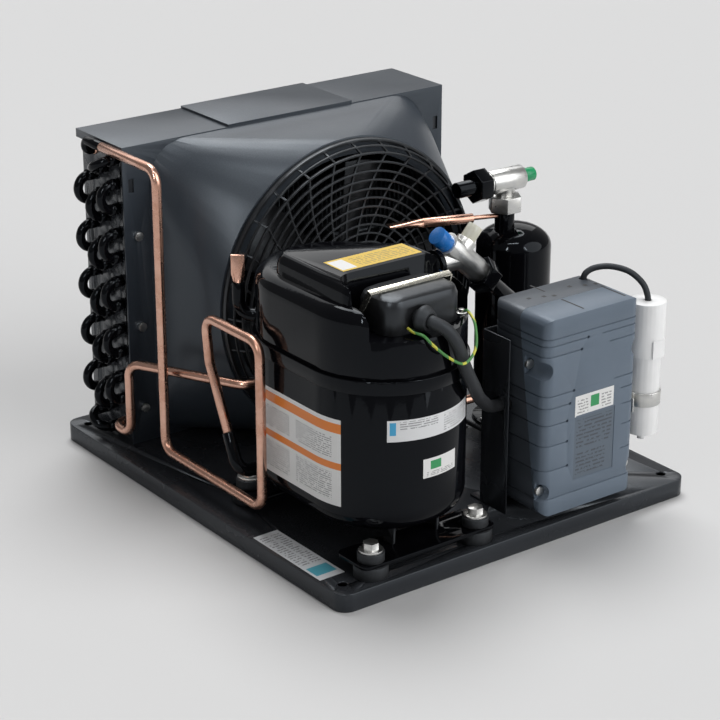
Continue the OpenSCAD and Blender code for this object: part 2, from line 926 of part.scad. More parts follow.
// Suction valve on the compressor
suction_out = 52;
suction_back = 17.5;
suction_up = 50;
suction_tilt = 42;
suction_drop = 5;
suction_stub_len = 47;
port_out = 16;
port_neck_d = 13;
port_cap_d = 15;
port_cap_len = 15;
suction_c = [comp_x + comp_r + suction_out, comp_y + suction_back, upper_z + suction_up];

module suction_at() {
  translate(suction_c) rotate([0, 90 + suction_tilt, 0]) children();
}

module suction_arm(d, from_x, to_x) {
  translate([from_x, suction_c[1], suction_c[2] - suction_drop])
    rotate([0, 90, 0]) cylinder(d = d, h = to_x - from_x);
}

spud_flange_d = 28;
spud_flange_t = 5;
spud_end_x = suction_c[0] - valve_d;

module spud_bore(grow) {
  suction_arm(spigot_d + grow, comp_x, comp_x + comp_r + cut);
}

module suction_spud() {
  wall_x = comp_x + comp_r;
  color(gloss_black)
    difference() {
      union() {
        suction_arm(spigot_d, wall_x - 2 * shell_t, spud_end_x);
        suction_arm(spud_flange_d, wall_x + seat_gap, wall_x + spud_flange_t);
        suction_arm(spud_flange_d, spud_end_x - spud_flange_t, spud_end_x);
      }
      suction_arm(spigot_d / 2, wall_x - 3 * shell_t, spud_end_x + cut);
    }
}

module suction_valve_body() {
  color(zinc) {
    suction_at() {
      valve_form(valve_cap_d, valve_nut_side);
      rotate([0, -90, 0]) {
        cylinder(d = spigot_d, h = port_out);
        cylinder(d = port_neck_d - 2 * collar_h, h = port_out + port_cap_len - collar_h);
      }
    }
    difference() {
      suction_arm(spigot_d, spud_end_x + seat_gap, suction_c[0]);
      suction_arm(spigot_d / 2, spud_end_x, spud_end_x + spud_flange_t);
    }
  }
}

module suction_valve_cap() {
  color([0.1, 0.5, 0.8]) suction_at() spindle_cap(valve_cap_d);
}

module suction_port_cap() {
  color(milk_white)
    suction_at()
      rotate([0, -90, 0])
        translate([0, 0, port_out + seat_gap])
          difference() {
            cylinder(d = port_cap_d, h = port_cap_len);
            translate([0, 0, -cut])
              cylinder(d = port_neck_d - 2 * collar_h + 2 * nipple_fit,
                h = port_cap_len - collar_h + cut);
          }
}

module suction_union_nut() {
  color(gloss_black) suction_at() union_nut(valve_nut_side);
}

module suction_union_stub() {
  color(gloss_black) suction_at() union_stub(valve_nut_side, suction_stub_len);
}

// Condenser: rows from the front, tubes from below
row_count = 3;
sheet_inset = 3;
flange_t = 2;
coil_z = base_top + flange_t + seat_gap;
coil_y = coil_front + sheet_inset;
ferrule_len = 7;
ferrule_d = coil_tube_d + ferrule_more;
port_end = 1;
fin_x = coil_left + sheet_t + seat_gap;
sheet_right_x = fin_x + fin_len + seat_gap;
fin_share = 0.6;
upper_row_share = 0.75;
lower_row_share = 0.25;
sheet_d = sheet_inset + row_count * row_pitch + sheet_more_d;
sheet_h = coil_h + sheet_more_h;
sheet_flange_w = 22;
sheet_corner_r = 18;
foot_flange_w = 16;

function row_y(row) = coil_y + row_pitch * (row + 0.5);
function tube_z(row, i) =
  coil_z + tube_pitch * (i + (row % 2 == 0 ? upper_row_share : lower_row_share));
function coil_end(row, i) = [coil_left, row_y(row), tube_z(row, i)];

function is_port(row, i) =
  (row == 0 && i == 0) || (row == row_count - 1 && i == tube_count - 1);

module at_tubes() {
  for (row = [0:row_count - 1], i = [0:tube_count - 1])
    translate([0, row_y(row), tube_z(row, i)]) rotate([0, 90, 0]) children();
}

module fin_pack() {
  n = floor(fin_len / fin_pitch) - 1;
  d = row_count * row_pitch;
  front = [for (i = [0:n - 1], k = [0:3])
    [fin_pitch * (i + 1) - (k < 2 ? fin_pitch * (1 - fin_share) : 0),
      (k == 1 || k == 2) ? fin_gap_depth : 0]];
  back = [for (j = [len(front) - 1:-1:0]) [front[j][0], d - front[j][1]]];
  color([0.16, 0.17, 0.18])
    difference() {
      translate([fin_x, coil_y, coil_z])
        linear_extrude(coil_h)
          polygon(concat([[0, 0]], front, [[fin_len, 0], [fin_len, d]], back, [[0, d]]));
      translate([fin_x - cut, 0, 0])
        at_tubes() cylinder(d = coil_tube_d + 2 * seat_gap, h = fin_len + 2 * cut);
    }
}

module sheet_outline() {
  h = sheet_h;
  square([sheet_d, h - sheet_corner_r]);
  square([sheet_d - sheet_corner_r, h]);
  translate([sheet_d - sheet_corner_r, h - sheet_corner_r]) circle(sheet_corner_r);
}

// One tube sheet standing on the plane X = 0, its flanges towards +X
module tube_sheet() {
  translate([0, coil_front, base_top])
    rotate([90, 0, 90])
      linear_extrude(sheet_t) sheet_outline();
  translate([0, coil_front, base_top])
    cube([sheet_flange_w, sheet_t, sheet_h - sheet_corner_r]);
  translate([0, coil_front, base_top])
    cube([foot_flange_w * head_share, sheet_d - sheet_corner_r, flange_t]);
}

module tube_sheets() {
  color(gloss_black)
    difference() {
      union() {
        translate([coil_left, 0, 0]) tube_sheet();
        translate([sheet_right_x, 0, 0]) tube_sheet();
      }
      translate([coil_left - cut, 0, 0])
        at_tubes() cylinder(d = coil_tube_d + 2 * seat_gap, h = fin_len + 10 * sheet_t);
      at_shroud_screws() cylinder(d = screw_d + 2 * seat_gap, h = 4 * sheet_t, center = true);
    }
}

// Half turn of tube between two ends, bulging towards way along X
module half_turn(a, b, way, d, t) {
  c = (a + b) / 2;
  s = unit(a - b);
  v = [way, 0, 0];
  w = cross(s, v);
  multmatrix([
    [s[0], v[0], w[0], c[0]],
    [s[1], v[1], w[1], c[1]],
    [s[2], v[2], w[2], c[2]],
    [0, 0, 0, 1]
  ])
    rotate_extrude(angle = 180, $fn = 32)
      translate([norm(a - b) / 2, 0]) tube_section(d, t);
}

module coil_tubes() {
  left_x = coil_left - ferrule_len;
  right_x = sheet_right_x + sheet_t + ferrule_len / 2;
  color(copper) {
    for (row = [0:row_count - 1], i = [0:tube_count - 1])
      let (x = is_port(row, i) ? coil_left - port_end : left_x)
        translate([x, row_y(row), tube_z(row, i)])
          rotate([0, 90, 0]) tube_run(coil_tube_d, coil_tube_t, right_x - x);
    for (row = [0:row_count - 1], i = [0:2:tube_count - 2])
      half_turn([right_x, row_y(row), tube_z(row, i + 1)], [right_x, row_y(row), tube_z(row, i)],
        1, coil_tube_d, coil_tube_t);
  }
}

module return_bends() {
  out = [-ferrule_len - seat_gap, 0, 0];
  pairs = concat(
    [for (row = [0:row_count - 1], i = [1:2:tube_count - 3]) [[row, i + 1], [row, i]]],
    [for (row = [1:row_count - 1])
      row % 2 == 0 ? [[row - 1, 0], [row, 0]] : [[row - 1, tube_count - 1], [row, tube_count - 1]]]);
  color(gloss_black) {
    for (p = pairs)
      half_turn(coil_end(p[0][0], p[0][1]) + out, coil_end(p[1][0], p[1][1]) + out, -1,
        coil_tube_d, coil_tube_t);
    for (row = [0:row_count - 1], i = [0:tube_count - 1])
      if (!is_port(row, i))
        translate([coil_left - ferrule_len - collar_h, row_y(row), tube_z(row, i)])
          rotate([0, 90, 0])
            ring(ferrule_d / 2, coil_tube_d / 2 + seat_gap,
              ferrule_len + collar_h - seat_gap);
  }
}

// Shroud with its duct. Duct, guard and fan are drawn looking along +Y: local Z is -Y
shroud_x = coil_left - shroud_out;
shroud_top_z = base_top + shroud_h;
duct_h = 2 * duct_r;
duct_corner_r = 40;
duct_shoulder_r = 78;
duct_shoulder_share = 0.3;
orifice_depth = 20;
fan_x = shroud_x + shroud_flange_w + duct_w / 2;
fan_z = base_top + fan_up;
duct_front_y = coil_front - duct_d;
lip_h = 8.5;
screw_d = 5;
screw_head_d = 9;
screw_head_h = 3;
slot_w = 6;
slot_h = 14;
screw_up_shares = [0.12, 0.4, 0.705];
slot_up_share = 0.85;

module face_front(y) {
  translate([fan_x, y, fan_z]) rotate([90, 0, 0]) children();
}

module duct_form(inset, over) {
  shoulder = duct_d * duct_shoulder_share;
  hull() {
    translate([0, 0, -over])
      linear_extrude(over + seat_gap)
        round_rect(duct_w - 2 * inset, duct_h - 2 * inset, duct_corner_r - inset);
    translate([0, 0, shoulder])
      linear_extrude(seat_gap)
        round_rect(duct_w - 2 * inset - shroud_t, duct_h - 2 * inset, duct_shoulder_r - inset);
    translate([0, 0, duct_d - seat_gap])
      cylinder(r = duct_r - inset, h = seat_gap + over, $fn = 64);
  }
}

module at_shroud_screws() {
  for (s = screw_up_shares)
    for (x = [shroud_x + shroud_flange_w * head_share, shroud_x + shroud_w - shroud_flange_w * head_share])
      translate([x, coil_front, base_top + s * shroud_h]) rotate([90, 0, 0]) children();
}

module fan_shroud() {
  color(satin_grey) {
    difference() {
      face_front(coil_front) duct_form(0, 0);
      face_front(coil_front) duct_form(shroud_t, cut);
      translate(motor_exit) rotate([0, 90, 0])
        cylinder(d = motor_lead_d + wheel_gap, h = motor_lead_d * 8, center = true);
    }
    difference() {
      translate([shroud_x, coil_front - shroud_t, base_top]) cube([shroud_w, shroud_t, shroud_h]);
      face_front(coil_front + cut) linear_extrude(shroud_t + 2 * cut)
        round_rect(duct_w - 4 * shroud_t, duct_h - 4 * shroud_t, duct_corner_r);
      at_shroud_screws() cylinder(d = screw_d + 2 * seat_gap, h = 4 * shroud_t, center = true);
      for (x = [shroud_x + slot_w, shroud_x + shroud_w - 2 * slot_w])
        translate([x, coil_front - shroud_t - cut, base_top + slot_up_share * shroud_h])
          cube([slot_w, shroud_t + 2 * cut, slot_h]);
    }
    face_front(duct_front_y)
      rotate_extrude()
        polygon([[duct_r - shroud_t / 2, -shroud_t], [duct_r - shroud_t / 2, 0], [orifice_r, 0],
          [orifice_r, -orifice_depth], [orifice_r + shroud_t, -orifice_depth],
          [orifice_r + shroud_t, -shroud_t]]);
    shroud_top();
  }
}

module shroud_top() {
  top_t = shroud_t;
  mid_x = fan_x - top_rise_w / 2;
  difference() {
    union() {
      translate([shroud_x, coil_front - top_t, shroud_top_z - lip_h])
        cube([shroud_w, shroud_top_d + top_t, lip_h]);
      translate([mid_x, coil_front - top_t, shroud_top_z - cut])
        cube([top_rise_w, shroud_top_d + top_t, top_rise + cut]);
    }
    translate([shroud_x + top_t, coil_front, shroud_top_z - lip_h - cut])
      cube([shroud_w - 2 * top_t, shroud_top_d - top_t, lip_h + cut - top_t]);
    translate([mid_x + top_t, coil_front, shroud_top_z - lip_h - cut])
      cube([top_rise_w - 2 * top_t, shroud_top_d - top_t, lip_h + cut + top_rise - top_t]);
  }
}

module shroud_screws() {
  color(zinc)
    at_shroud_screws() {
      translate([0, 0, shroud_t]) cylinder(d = screw_head_d, h = screw_head_h);
      translate([0, 0, -sheet_t]) cylinder(d = screw_d, h = shroud_t + sheet_t + screw_head_h);
    }
}

// Fan guard: rings, ribs that run out from the centre, and a cage side
rib_arc_r = 168;
rib_sink_share = 0.15;
rim_h = 7;
rim_t = 3;

module guard_rib() {
  p = [guard_face_r, 0];
  q = (guard_hub_r - guard_ring_w) * [cos(guard_swirl), sin(guard_swirl)];
  half = norm(q - p) / 2;
  u = unit(q - p);
  c = (p + q) / 2 + sqrt(rib_arc_r * rib_arc_r - half * half) * [-u[1], u[0]];
  translate(c)
    rotate([0, 0, atan2(p[1] - c[1], p[0] - c[0])])
      rotate_extrude(angle = 2 * asin(half / rib_arc_r), $fn = 96)
        translate([rib_arc_r - guard_ring_w / 2, guard_t * rib_sink_share])
          square([guard_ring_w, guard_t * (1 - 2 * rib_sink_share)]);
}

module guard_side_rib() {
  rotate([90, 0, 0])
    linear_extrude(guard_ring_w, center = true)
      polygon([[guard_face_r, guard_d - guard_t * head_share],
        [guard_face_r, guard_d - guard_t * fin_share / 2],
        [guard_face_r + guard_ring_w, guard_d - guard_t * fin_share / 2],
        [guard_r - rim_t / 3, rim_h / 2], [guard_r - rim_t / 3, cut],
        [guard_r - rim_t / 2, cut]]);
}

module fan_guard() {
  face_z = guard_d - guard_t;
  side_r = (guard_face_r + guard_r) / 2;
  color(gloss_black)
    face_front(duct_front_y) {
      ring(guard_r, guard_r - rim_t, rim_h);
      translate([0, 0, (face_z + rim_h) / 2])
        ring(side_r + guard_ring_w / 2, side_r - guard_ring_w / 2, guard_ring_w);
      translate([0, 0, face_z]) cylinder(r = guard_hub_r, h = guard_t);
      for (r = [guard_face_r:-guard_ring_pitch:guard_hub_r + guard_ring_pitch / 2])
        translate([0, 0, face_z])
          ring(r + guard_ring_w / 2, r - guard_ring_w / 2, guard_t);
      for (i = [0:guard_ribs - 1])
        rotate([0, 0, i * 360 / guard_ribs]) {
          translate([0, 0, face_z]) guard_rib();
          guard_side_rib();
        }
    }
}

// Fan motor on a strap behind the duct
strap_w = 40;
strap_t = 2;
motor_back_y = coil_front - motor_gap;
motor_front_y = motor_back_y - motor_len;
motor_boss_d = 24;
motor_boss_h = 6;
motor_lead_d = 5;
wheel_back_y = motor_front_y - motor_boss_h - wheel_gap;
wheel_len = 34;
bush_d = 18;

module motor_bracket() {
  reach = duct_w / 2 - 2 * shroud_t;
  tab = orifice_depth;
  color(gloss_black)
    difference() {
      union() {
        translate([fan_x - reach, motor_back_y, fan_z - strap_w / 2])
          cube([2 * reach, strap_t, strap_w]);
        for (s = [-1, 1])
          translate([fan_x + s * (reach - strap_t / 2), motor_back_y - tab / 2, fan_z])
            cube([strap_t, tab, strap_w], center = true);
      }
      for (s = [-1, 1])
        translate([fan_x + s * motor_w / 4, motor_back_y + strap_t + cut, fan_z])
          rotate([90, 0, 0]) cylinder(d = screw_d, h = strap_t + 2 * cut);
    }
}

module fan_motor() {
  color([0.25, 0.26, 0.28])
    difference() {
      face_front(motor_back_y)
        rotate_extrude()
          polygon([[0, 0], [motor_w / 2 - shroud_t, 0], [motor_w / 2, shroud_t],
            [motor_w / 2, motor_len - shroud_t], [motor_w / 2 - shroud_t, motor_len],
            [motor_boss_d / 2, motor_len], [motor_boss_d / 2, motor_len + motor_boss_h],
            [0, motor_len + motor_boss_h]]);
      face_front(motor_front_y + orifice_depth)
        cylinder(d = fan_shaft_d + 2 * shaft_fit, h = orifice_depth + motor_boss_h + cut);
    }
}

shaft_fit = 0.05;

module fan_shaft() {
  color(zinc)
    face_front(motor_front_y + orifice_depth - cut)
      cylinder(d = fan_shaft_d, h = orifice_depth - cut + motor_boss_h + wheel_len + wheel_gap + bolt_d);
}

module fan_bush() {
  color(zinc)
    face_front(wheel_back_y) ring(bush_d / 2, fan_shaft_d / 2 + seat_gap, wheel_len);
}

module fan_nut() {
  color(zinc)
    face_front(wheel_back_y - wheel_len)
      difference() {
        hex_prism(bolt_af, fan_shaft_d * nut_share);
        translate([0, 0, -cut]) cylinder(d = fan_shaft_d + 2 * seat_gap, h = fan_shaft_d);
      }
}

// One blade: sections across the chord, turned from root to tip
module fan_blade() {
  stations = 6;
  chord_n = 5;
  camber_share = 0.09;
  root_r = hub_r - blade_t;
  rs = [for (i = [0:stations]) root_r + (fan_r - root_r) * i / stations];
  function at(r, k, side) =
    let (f = (r - root_r) / (fan_r - root_r),
      chord = blade_chord_root + (blade_chord_tip - blade_chord_root) * f,
      pitch = blade_pitch_root + (blade_pitch_tip - blade_pitch_root) * f,
      u = (k / chord_n - 0.5) * chord,
      w = camber_share * chord * (1 - 4 * u * u / chord / chord) + side * blade_t / 2,
      along = u * cos(pitch) - w * sin(pitch),
      up = u * sin(pitch) + w * cos(pitch),
      a = along / r * 180 / PI)
    [r * cos(a), r * sin(a), up];
  m = 2 * (chord_n + 1);
  pts = [for (r = rs, j = [0:m - 1])
    j <= chord_n ? at(r, j, 1) : at(r, m - 1 - j, -1)];
  skin = [for (i = [0:stations - 1], j = [0:m - 1], h = [0, 1])
    let (a = i * m + j, b = i * m + (j + 1) % m)
    h == 0 ? [a, b, b + m] : [a, b + m, a + m]];
  caps = [for (j = [0:chord_n - 1], h = [0, 1])
    h == 0 ? [j, m - 1 - j, m - 2 - j] : [j, m - 2 - j, j + 1]];
  tip = [for (f = caps) [for (v = [2:-1:0]) f[v] + stations * m]];
  polyhedron(points = pts, faces = concat(skin, caps, tip));
}

module fan_wheel() {
  color(rubber)
    face_front(wheel_back_y) {
      difference() {
        cylinder(r = hub_r, h = wheel_len);
        translate([0, 0, -cut]) cylinder(d = bush_d + 2 * seat_gap, h = wheel_len + 2 * cut);
        translate([0, 0, -cut])
          ring(hub_r - box_t, bush_d / 2 + box_t, wheel_len - box_t + cut);
      }
      for (i = [0:blade_count - 1])
        rotate([0, 0, i * 360 / blade_count])
          translate([0, 0, wheel_len / 2]) fan_blade();
    }
}

motor_exit = [fan_x + duct_w / 2 - shroud_t, coil_front - 28, base_top + 42];
motor_route = [[54, 125, 150], [80, 124, 120], [120, 123, 80], [156, 122, 64], [168, 122, 60],
  [188, 122, 60], [198, 110, 50], [186, 88, 28], [160, 66, 23], [128, 34, 22], [118, 0, 22], [116, -50, 22],
  [114, -110, 22], [111, -140, 30], [111, -154, 38], [111, -170, 38]];

module motor_lead() {
  color(rubber) cord(spline(motor_route, 1), motor_lead_d, 8);
}

// Receiver
rec_foot_h = 13;
rec_z = base_top + rec_foot_h;
rec_arc_steps = 10;
foot_ring_r = 27;
foot_flange_r = 38;
adaptor_in = 13;
adaptor_d = 20;
adaptor_top_z = rec_z + rec_h + 16;
dip_low_z = rec_z + rec_dome_h;

// Half outline of a vessel with elliptic ends
module vessel(r, dome, h) {
  polygon(concat(
    [for (i = [0:rec_arc_steps]) let (a = -90 + 90 * i / rec_arc_steps)
      [r * cos(a), dome + dome * sin(a)]],
    [for (i = [0:rec_arc_steps]) let (a = 90 * i / rec_arc_steps)
      [r * cos(a), h - dome + dome * sin(a)]]));
}

module receiver_shell() {
  color(gloss_black)
    difference() {
      translate([rec_x, rec_y, rec_z]) rotate_extrude() vessel(rec_d / 2, rec_dome_h, rec_h);
      translate([rec_x, rec_y, rec_z + rec_t])
        rotate_extrude() vessel(rec_d / 2 - rec_t, rec_dome_h - rec_t, rec_h - 2 * rec_t);
      translate([rec_x - adaptor_in, rec_y, rec_z + rec_h / 2])
        cylinder(d = adaptor_d + 2 * seat_gap, h = rec_h);
      translate([rec_x - rec_d, rec_y, outlet_low_z])
        rotate([0, 90, 0]) cylinder(d = line_d + 2 * seat_gap, h = rec_d);
    }
}

module receiver_foot() {
  color(gloss_black)
    difference() {
      translate([rec_x, rec_y, base_top]) {
        ring(foot_ring_r, foot_ring_r - rec_t, 2 * rec_foot_h);
        ring(foot_flange_r, foot_ring_r - rec_t, flange_t);
      }
      translate([rec_x, rec_y, rec_z])
        rotate_extrude() vessel(rec_d / 2 + seat_gap, rec_dome_h + seat_gap, rec_h);
      for (p = base_screw_places)
        translate(p) cylinder(d = screw_d + 2 * seat_gap, h = base_h + 2 * flange_t);
    }
}

module liquid_at() {
  translate([rec_x - adaptor_in, rec_y, adaptor_top_z]) children();
}

module receiver_adaptor() {
  color(gloss_black) {
    liquid_at()
      translate([0, 0, rec_z + rec_h - rec_dome_h - adaptor_top_z])
        difference() {
          cylinder(d = adaptor_d, h = adaptor_top_z - rec_z - rec_h + rec_dome_h);
          translate([0, 0, rec_dome_h])
            translate([-adaptor_d, 0, charge_up])
              rotate([0, 90, 0]) cylinder(d = charge_stub_d + 12 * seat_gap, h = adaptor_d);
        }
    liquid_at()
      translate([0, 0, dip_low_z - adaptor_top_z])
        tube_run(line_d, line_t, rec_z + rec_h - rec_dome_h - dip_low_z);
  }
}

liquid_nut_h = 16;
liquid_axis_up = 32;
liquid_nut_side = 22;
liquid_cap_d = 14;
liquid_stub_len = 26;

module liquid_valve_nut() {
  color(zinc)
    liquid_at()
      translate([0, 0, seat_gap]) hex_prism(nut_af, liquid_nut_h);
}

module liquid_valve_body() {
  color(zinc)
    liquid_at() {
      translate([0, 0, liquid_nut_h + 2 * seat_gap])
        cylinder(d = spigot_d, h = liquid_axis_up - liquid_nut_h);
      translate([0, 0, liquid_axis_up])
        rotate([0, -90, 0]) valve_form(liquid_cap_d, liquid_nut_side);
    }
}

module liquid_valve_cap() {
  color([0.1, 0.6, 0.35])
    liquid_at() translate([0, 0, liquid_axis_up]) rotate([0, -90, 0]) spindle_cap(liquid_cap_d);
}

module liquid_union_nut() {
  color(gloss_black)
    liquid_at() translate([0, 0, liquid_axis_up]) rotate([0, -90, 0]) union_nut(liquid_nut_side);
}

module liquid_union_stub() {
  color(gloss_black)
    liquid_at()
      translate([0, 0, liquid_axis_up])
        rotate([0, -90, 0]) union_stub(liquid_nut_side, liquid_stub_len);
}

charge_up = 12;
charge_stub_d = 5;
charge_stub_len = 30;
charge_len = 112;
charge_taper = 28;
charge_dir = [-117, 32, 3];
charge_tip_w = 12;

module charging_tube() {
  body = charge_len - charge_stub_len;
  color(copper)
    aim([rec_x - adaptor_in - adaptor_d / 2 + rec_t, rec_y, rec_z + rec_h + charge_up], charge_dir) {
      cylinder(d = charge_stub_d - 2 * seat_gap, h = charge_stub_len, $fn = 24);
      translate([0, 0, charge_stub_len - cut]) cylinder(d = line_d, h = body - charge_taper, $fn = 24);
      translate([0, 0, charge_stub_len + body - charge_taper - cut])
        hull() {
          cylinder(d = line_d, h = seat_gap, $fn = 24);
          translate([-pinch_t / 4, -charge_tip_w / 2, charge_taper * pinch_share])
            cube([pinch_t / 2, charge_tip_w, charge_taper]);
        }
    }
}

// Electrical box
box_z = base_top + box_lift;
box_front_y = front_y + box_in;
box_back_y = box_front_y + box_cover_d + box_back_d;
motor_hole = [111, box_back_y, base_top + 20];
box_right_x = box_left + box_w;
groove_d = 1;
groove_h = 1.4;
groove_hole_d = 3;
// Grooves of the cover: height, end of the left run, start of the right run, as shares of the box
groove_shares = [[0.903, 1, 0], [0.868, 0.443, 0.592], [0.816, 0.376, 0.673],
  [0.617, 0.307, 0.744], [0.556, 0.27, 0.819], [0.47, 0.246, 0.837], [0.364, 0.252, 0.847],
  [0.237, 0.263, 0.846], [0.089, 1, 0]];
panel_shares = [0.33, 0.765, 0.148, 0.475];
seam_top_share = 0.52;
seam_low_share = 0.12;
notch_up_shares = [0.125, 0.745];
notch_d = 18;
notch_screw_in = 4;
notch_flange_t = 2.5;

module box_form(inset) {
  w = box_w - 2 * inset;
  d = box_cover_d + box_back_d - 2 * inset;
  h = box_h - 2 * inset;
  r = box_r - inset;
  translate([box_left + box_w / 2, (box_front_y + box_back_y) / 2, box_z + box_h / 2])
    intersection() {
      translate([0, 0, -h / 2]) round_prism(w, d, r, h);
      translate([0, d / 2, 0]) rotate([90, 0, 0]) round_prism(w, h, r, d);
    }
}

// The two halves part along a plane that leans back towards the top
function seam_y(up) =
  box_front_y + (box_cover_d + box_back_d) * (seam_low_share + (seam_top_share - seam_low_share) * up);

module box_side(y, gap) {
  low_z = box_z - cut;
  top_z = box_z + box_h + cut;
  translate([box_left - cut, 0, 0])
    rotate([90, 0, 90])
      linear_extrude(box_w + 2 * cut)
        polygon([[y, low_z], [seam_y(0) + gap, low_z], [seam_y(1) + gap, top_z], [y, top_z]]);
}

// Round notches in both sides, where the screws sit on the flange beside the seam
module box_notches(grow, depth) {
  for (x = [box_left, box_right_x], s = notch_up_shares)
    translate([x, seam_y(s) + depth, box_z + box_h * s])
      rotate([90, 0, 0]) cylinder(d = notch_d + 2 * grow, h = box_cover_d + box_back_d);
}

module box_hollow() {
  difference() {
    box_form(box_t);
    box_notches(box_t, box_back_d);
  }
}

module box_grooves() {
  difference() {
    for (g = groove_shares) {
      z = box_z + box_h * g[0] - groove_h / 2;
      d = box_cover_d + box_back_d;
      translate([box_left - cut, box_front_y - cut, z])
        cube([box_w * g[1] + cut, d, groove_h]);
      if (g[2] > 0)
        translate([box_left + box_w * g[2], box_front_y - cut, z])
          cube([box_w * (1 - g[2]) + cut, d, groove_h]);
    }
    box_form(groove_d);
  }
  for (g = groove_shares)
    if (g[2] > 0)
      translate([box_left + box_w * g[1], box_front_y - cut, box_z + box_h * g[0]])
        rotate([-90, 0, 0]) cylinder(d = groove_hole_d, h = box_t - groove_d / 2 + cut);
  translate([box_left + box_w * panel_shares[0], box_front_y - cut, box_z + box_h * panel_shares[2]])
    cube([box_w * (panel_shares[1] - panel_shares[0]), groove_d / 2 + cut,
      box_h * (panel_shares[3] - panel_shares[2])]);
}

module box_cover() {
  color(moulded_grey)
    difference() {
      box_form(0);
      box_side(box_back_y + cut, -seat_gap);
      box_hollow();
      box_notches(0, -notch_flange_t);
      box_grooves();
      at_box_screws() cylinder(d = screw_d + 2 * seat_gap, h = box_back_d, center = true);
    }
}

module at_box_screws() {
  for (s = notch_up_shares, x = [box_left + notch_screw_in, box_right_x - notch_screw_in])
    translate([x, seam_y(s) - notch_flange_t, box_z + box_h * s]) rotate([90, 0, 0]) children();
}

module box_screws() {
  color(zinc)
    at_box_screws() {
      translate([0, 0, seat_gap]) cylinder(d = screw_head_d, h = screw_head_h);
      translate([0, 0, -box_cover_d / 2]) cylinder(d = screw_d, h = box_cover_d / 2 + cut);
    }
}

module box_back() {
  color([0.30, 0.33, 0.37])
    difference() {
      box_form(0);
      box_side(box_front_y - cut, 0);
      box_hollow();
      box_notches(0, -notch_flange_t);
      box_grooves();
      at_box_screws() cylinder(d = screw_d + 2 * seat_gap, h = box_cover_d + 2 * cut, center = true);
      translate([box_left - cut, lead_hole[1], lead_hole[2]])
        rotate([0, 90, 0]) cylinder(d = lead_d + 2, h = 4 * box_t);
      translate(motor_hole + [0, cut, 0])
        rotate([90, 0, 0]) cylinder(d = motor_lead_d + 2, h = 4 * box_t);
      translate(cap_route[0]) cylinder(d = cap_lead_d + 2, h = 4 * box_t, center = true);
    }
}

bracket_out = 10;
bracket_t = 1.5;
bracket_h_share = 0.86;
bracket_fore_share = 0.8;

module box_bracket() {
  left = box_left - bracket_out;
  y = box_back_y + seat_gap;
  h = box_z - base_top + box_h * bracket_h_share;
  color(gloss_black)
    difference() {
      union() {
        translate([left, y, base_top]) cube([box_right_x - left, bracket_t, h]);
        translate([left, y - box_back_d * bracket_fore_share, base_top])
          cube([bracket_t, box_back_d * bracket_fore_share + bracket_t, h]);
        translate([left, y, base_top]) cube([box_right_x - left, foot_flange_w, flange_t]);
      }
      translate([left - cut, lead_hole[1], lead_hole[2]])
        rotate([0, 90, 0]) cylinder(d = lead_d + 4, h = bracket_t + 2 * cut);
      translate([motor_hole[0], y + bracket_t + cut, motor_hole[2]])
        rotate([90, 0, 0]) cylinder(d = motor_lead_d + wheel_gap, h = bracket_t + 2 * cut);
      for (p = base_screw_places)
        translate(p) cylinder(d = screw_d + 2 * seat_gap, h = base_h + 2 * flange_t);
    }
}

base_screw_places = concat(
  [for (x = [box_left + box_r, box_right_x - 2 * box_r])
    [x, box_back_y + foot_flange_w * fin_share, 0]],
  [for (a = [60, 180, 300])
    [rec_x + (foot_ring_r + foot_flange_r) / 2 * cos(a), rec_y + (foot_ring_r + foot_flange_r) / 2 * sin(a), 0]]);

module base_screws() {
  color(zinc)
    for (p = base_screw_places)
      translate([p[0], p[1], base_top]) {
        translate([0, 0, flange_t]) hex_prism(screw_d * washer_share, screw_head_h);
        translate([0, 0, -base_t - screw_d]) cylinder(d = screw_d, h = base_t + screw_d + flange_t);
      }
}

// Capacitor beside the box
cap_out = 27;
cap_in = 18;
cap_up = 55;
cap_x = box_right_x + cap_out;
cap_y = box_front_y + cap_in;
cap_z = base_top + cap_up;
cap_rim = 1;
boot_over = 14;
boot_top_z = cap_z + cap_h + boot_over;
blade_w = 5;
blade_h = 9;
clamp_w = 14;
clamp_t = 1.5;
clamp_up = 30;
cap_route = [[126, -172, 219], [128, -173, 227], [136, -177, 232], [147, -187, 234],
  [157, -202, 231], [162.5, -215, 222], [164, -221, 211], [164, -222, 201]];

module capacitor_can() {
  color(milk_white)
    translate([cap_x, cap_y, cap_z]) {
      cylinder(d = cap_d, h = cap_h);
      translate([0, 0, -bolt_d]) cylinder(d = bolt_d, h = bolt_d + cut);
      translate([0, 0, cap_h - 2 * cap_rim]) cylinder(d = cap_d + cap_rim, h = cap_rim);
      for (s = [-1, 1])
        translate([s * blade_w, -blade_w / 2, cap_h]) cube([cap_rim, blade_w, blade_h]);
    }
}

module capacitor_boot() {
  z = boot_top_z - boot_h;
  color([0.95, 0.95, 0.94])
    difference() {
      translate([cap_x, cap_y, z]) {
        cylinder(d = cap_d + 2 * (boot_t + cap_rim), h = boot_h);
        translate([-cap_d / 4, -cap_d / 2 - 2 * boot_t, 0]) cube([cap_d / 2, boot_t, boot_h / 3]);
      }
      translate([cap_x, cap_y, z - cut]) cylinder(d = cap_d + 2 * cap_rim, h = boot_h - boot_t + cut);
      translate([cap_x, cap_y, boot_top_z - cut - boot_t]) cylinder(d = cap_lead_d + 1, h = 2 * boot_t);
    }
}

module capacitor_clamp() {
  color(zinc)
    translate([cap_x, cap_y, cap_z + clamp_up]) {
      ring(cap_d / 2 + seat_gap + clamp_t, cap_d / 2 + seat_gap, clamp_w);
      translate([box_right_x + seat_gap - cap_x, -clamp_t / 2, 0])
        cube([cap_x - box_right_x - cap_d / 2 - seat_gap - clamp_t / 2, clamp_t, clamp_w]);
      translate([box_right_x + seat_gap - cap_x, -clamp_w, 0]) cube([clamp_t, 2 * clamp_w, clamp_w]);
    }
}

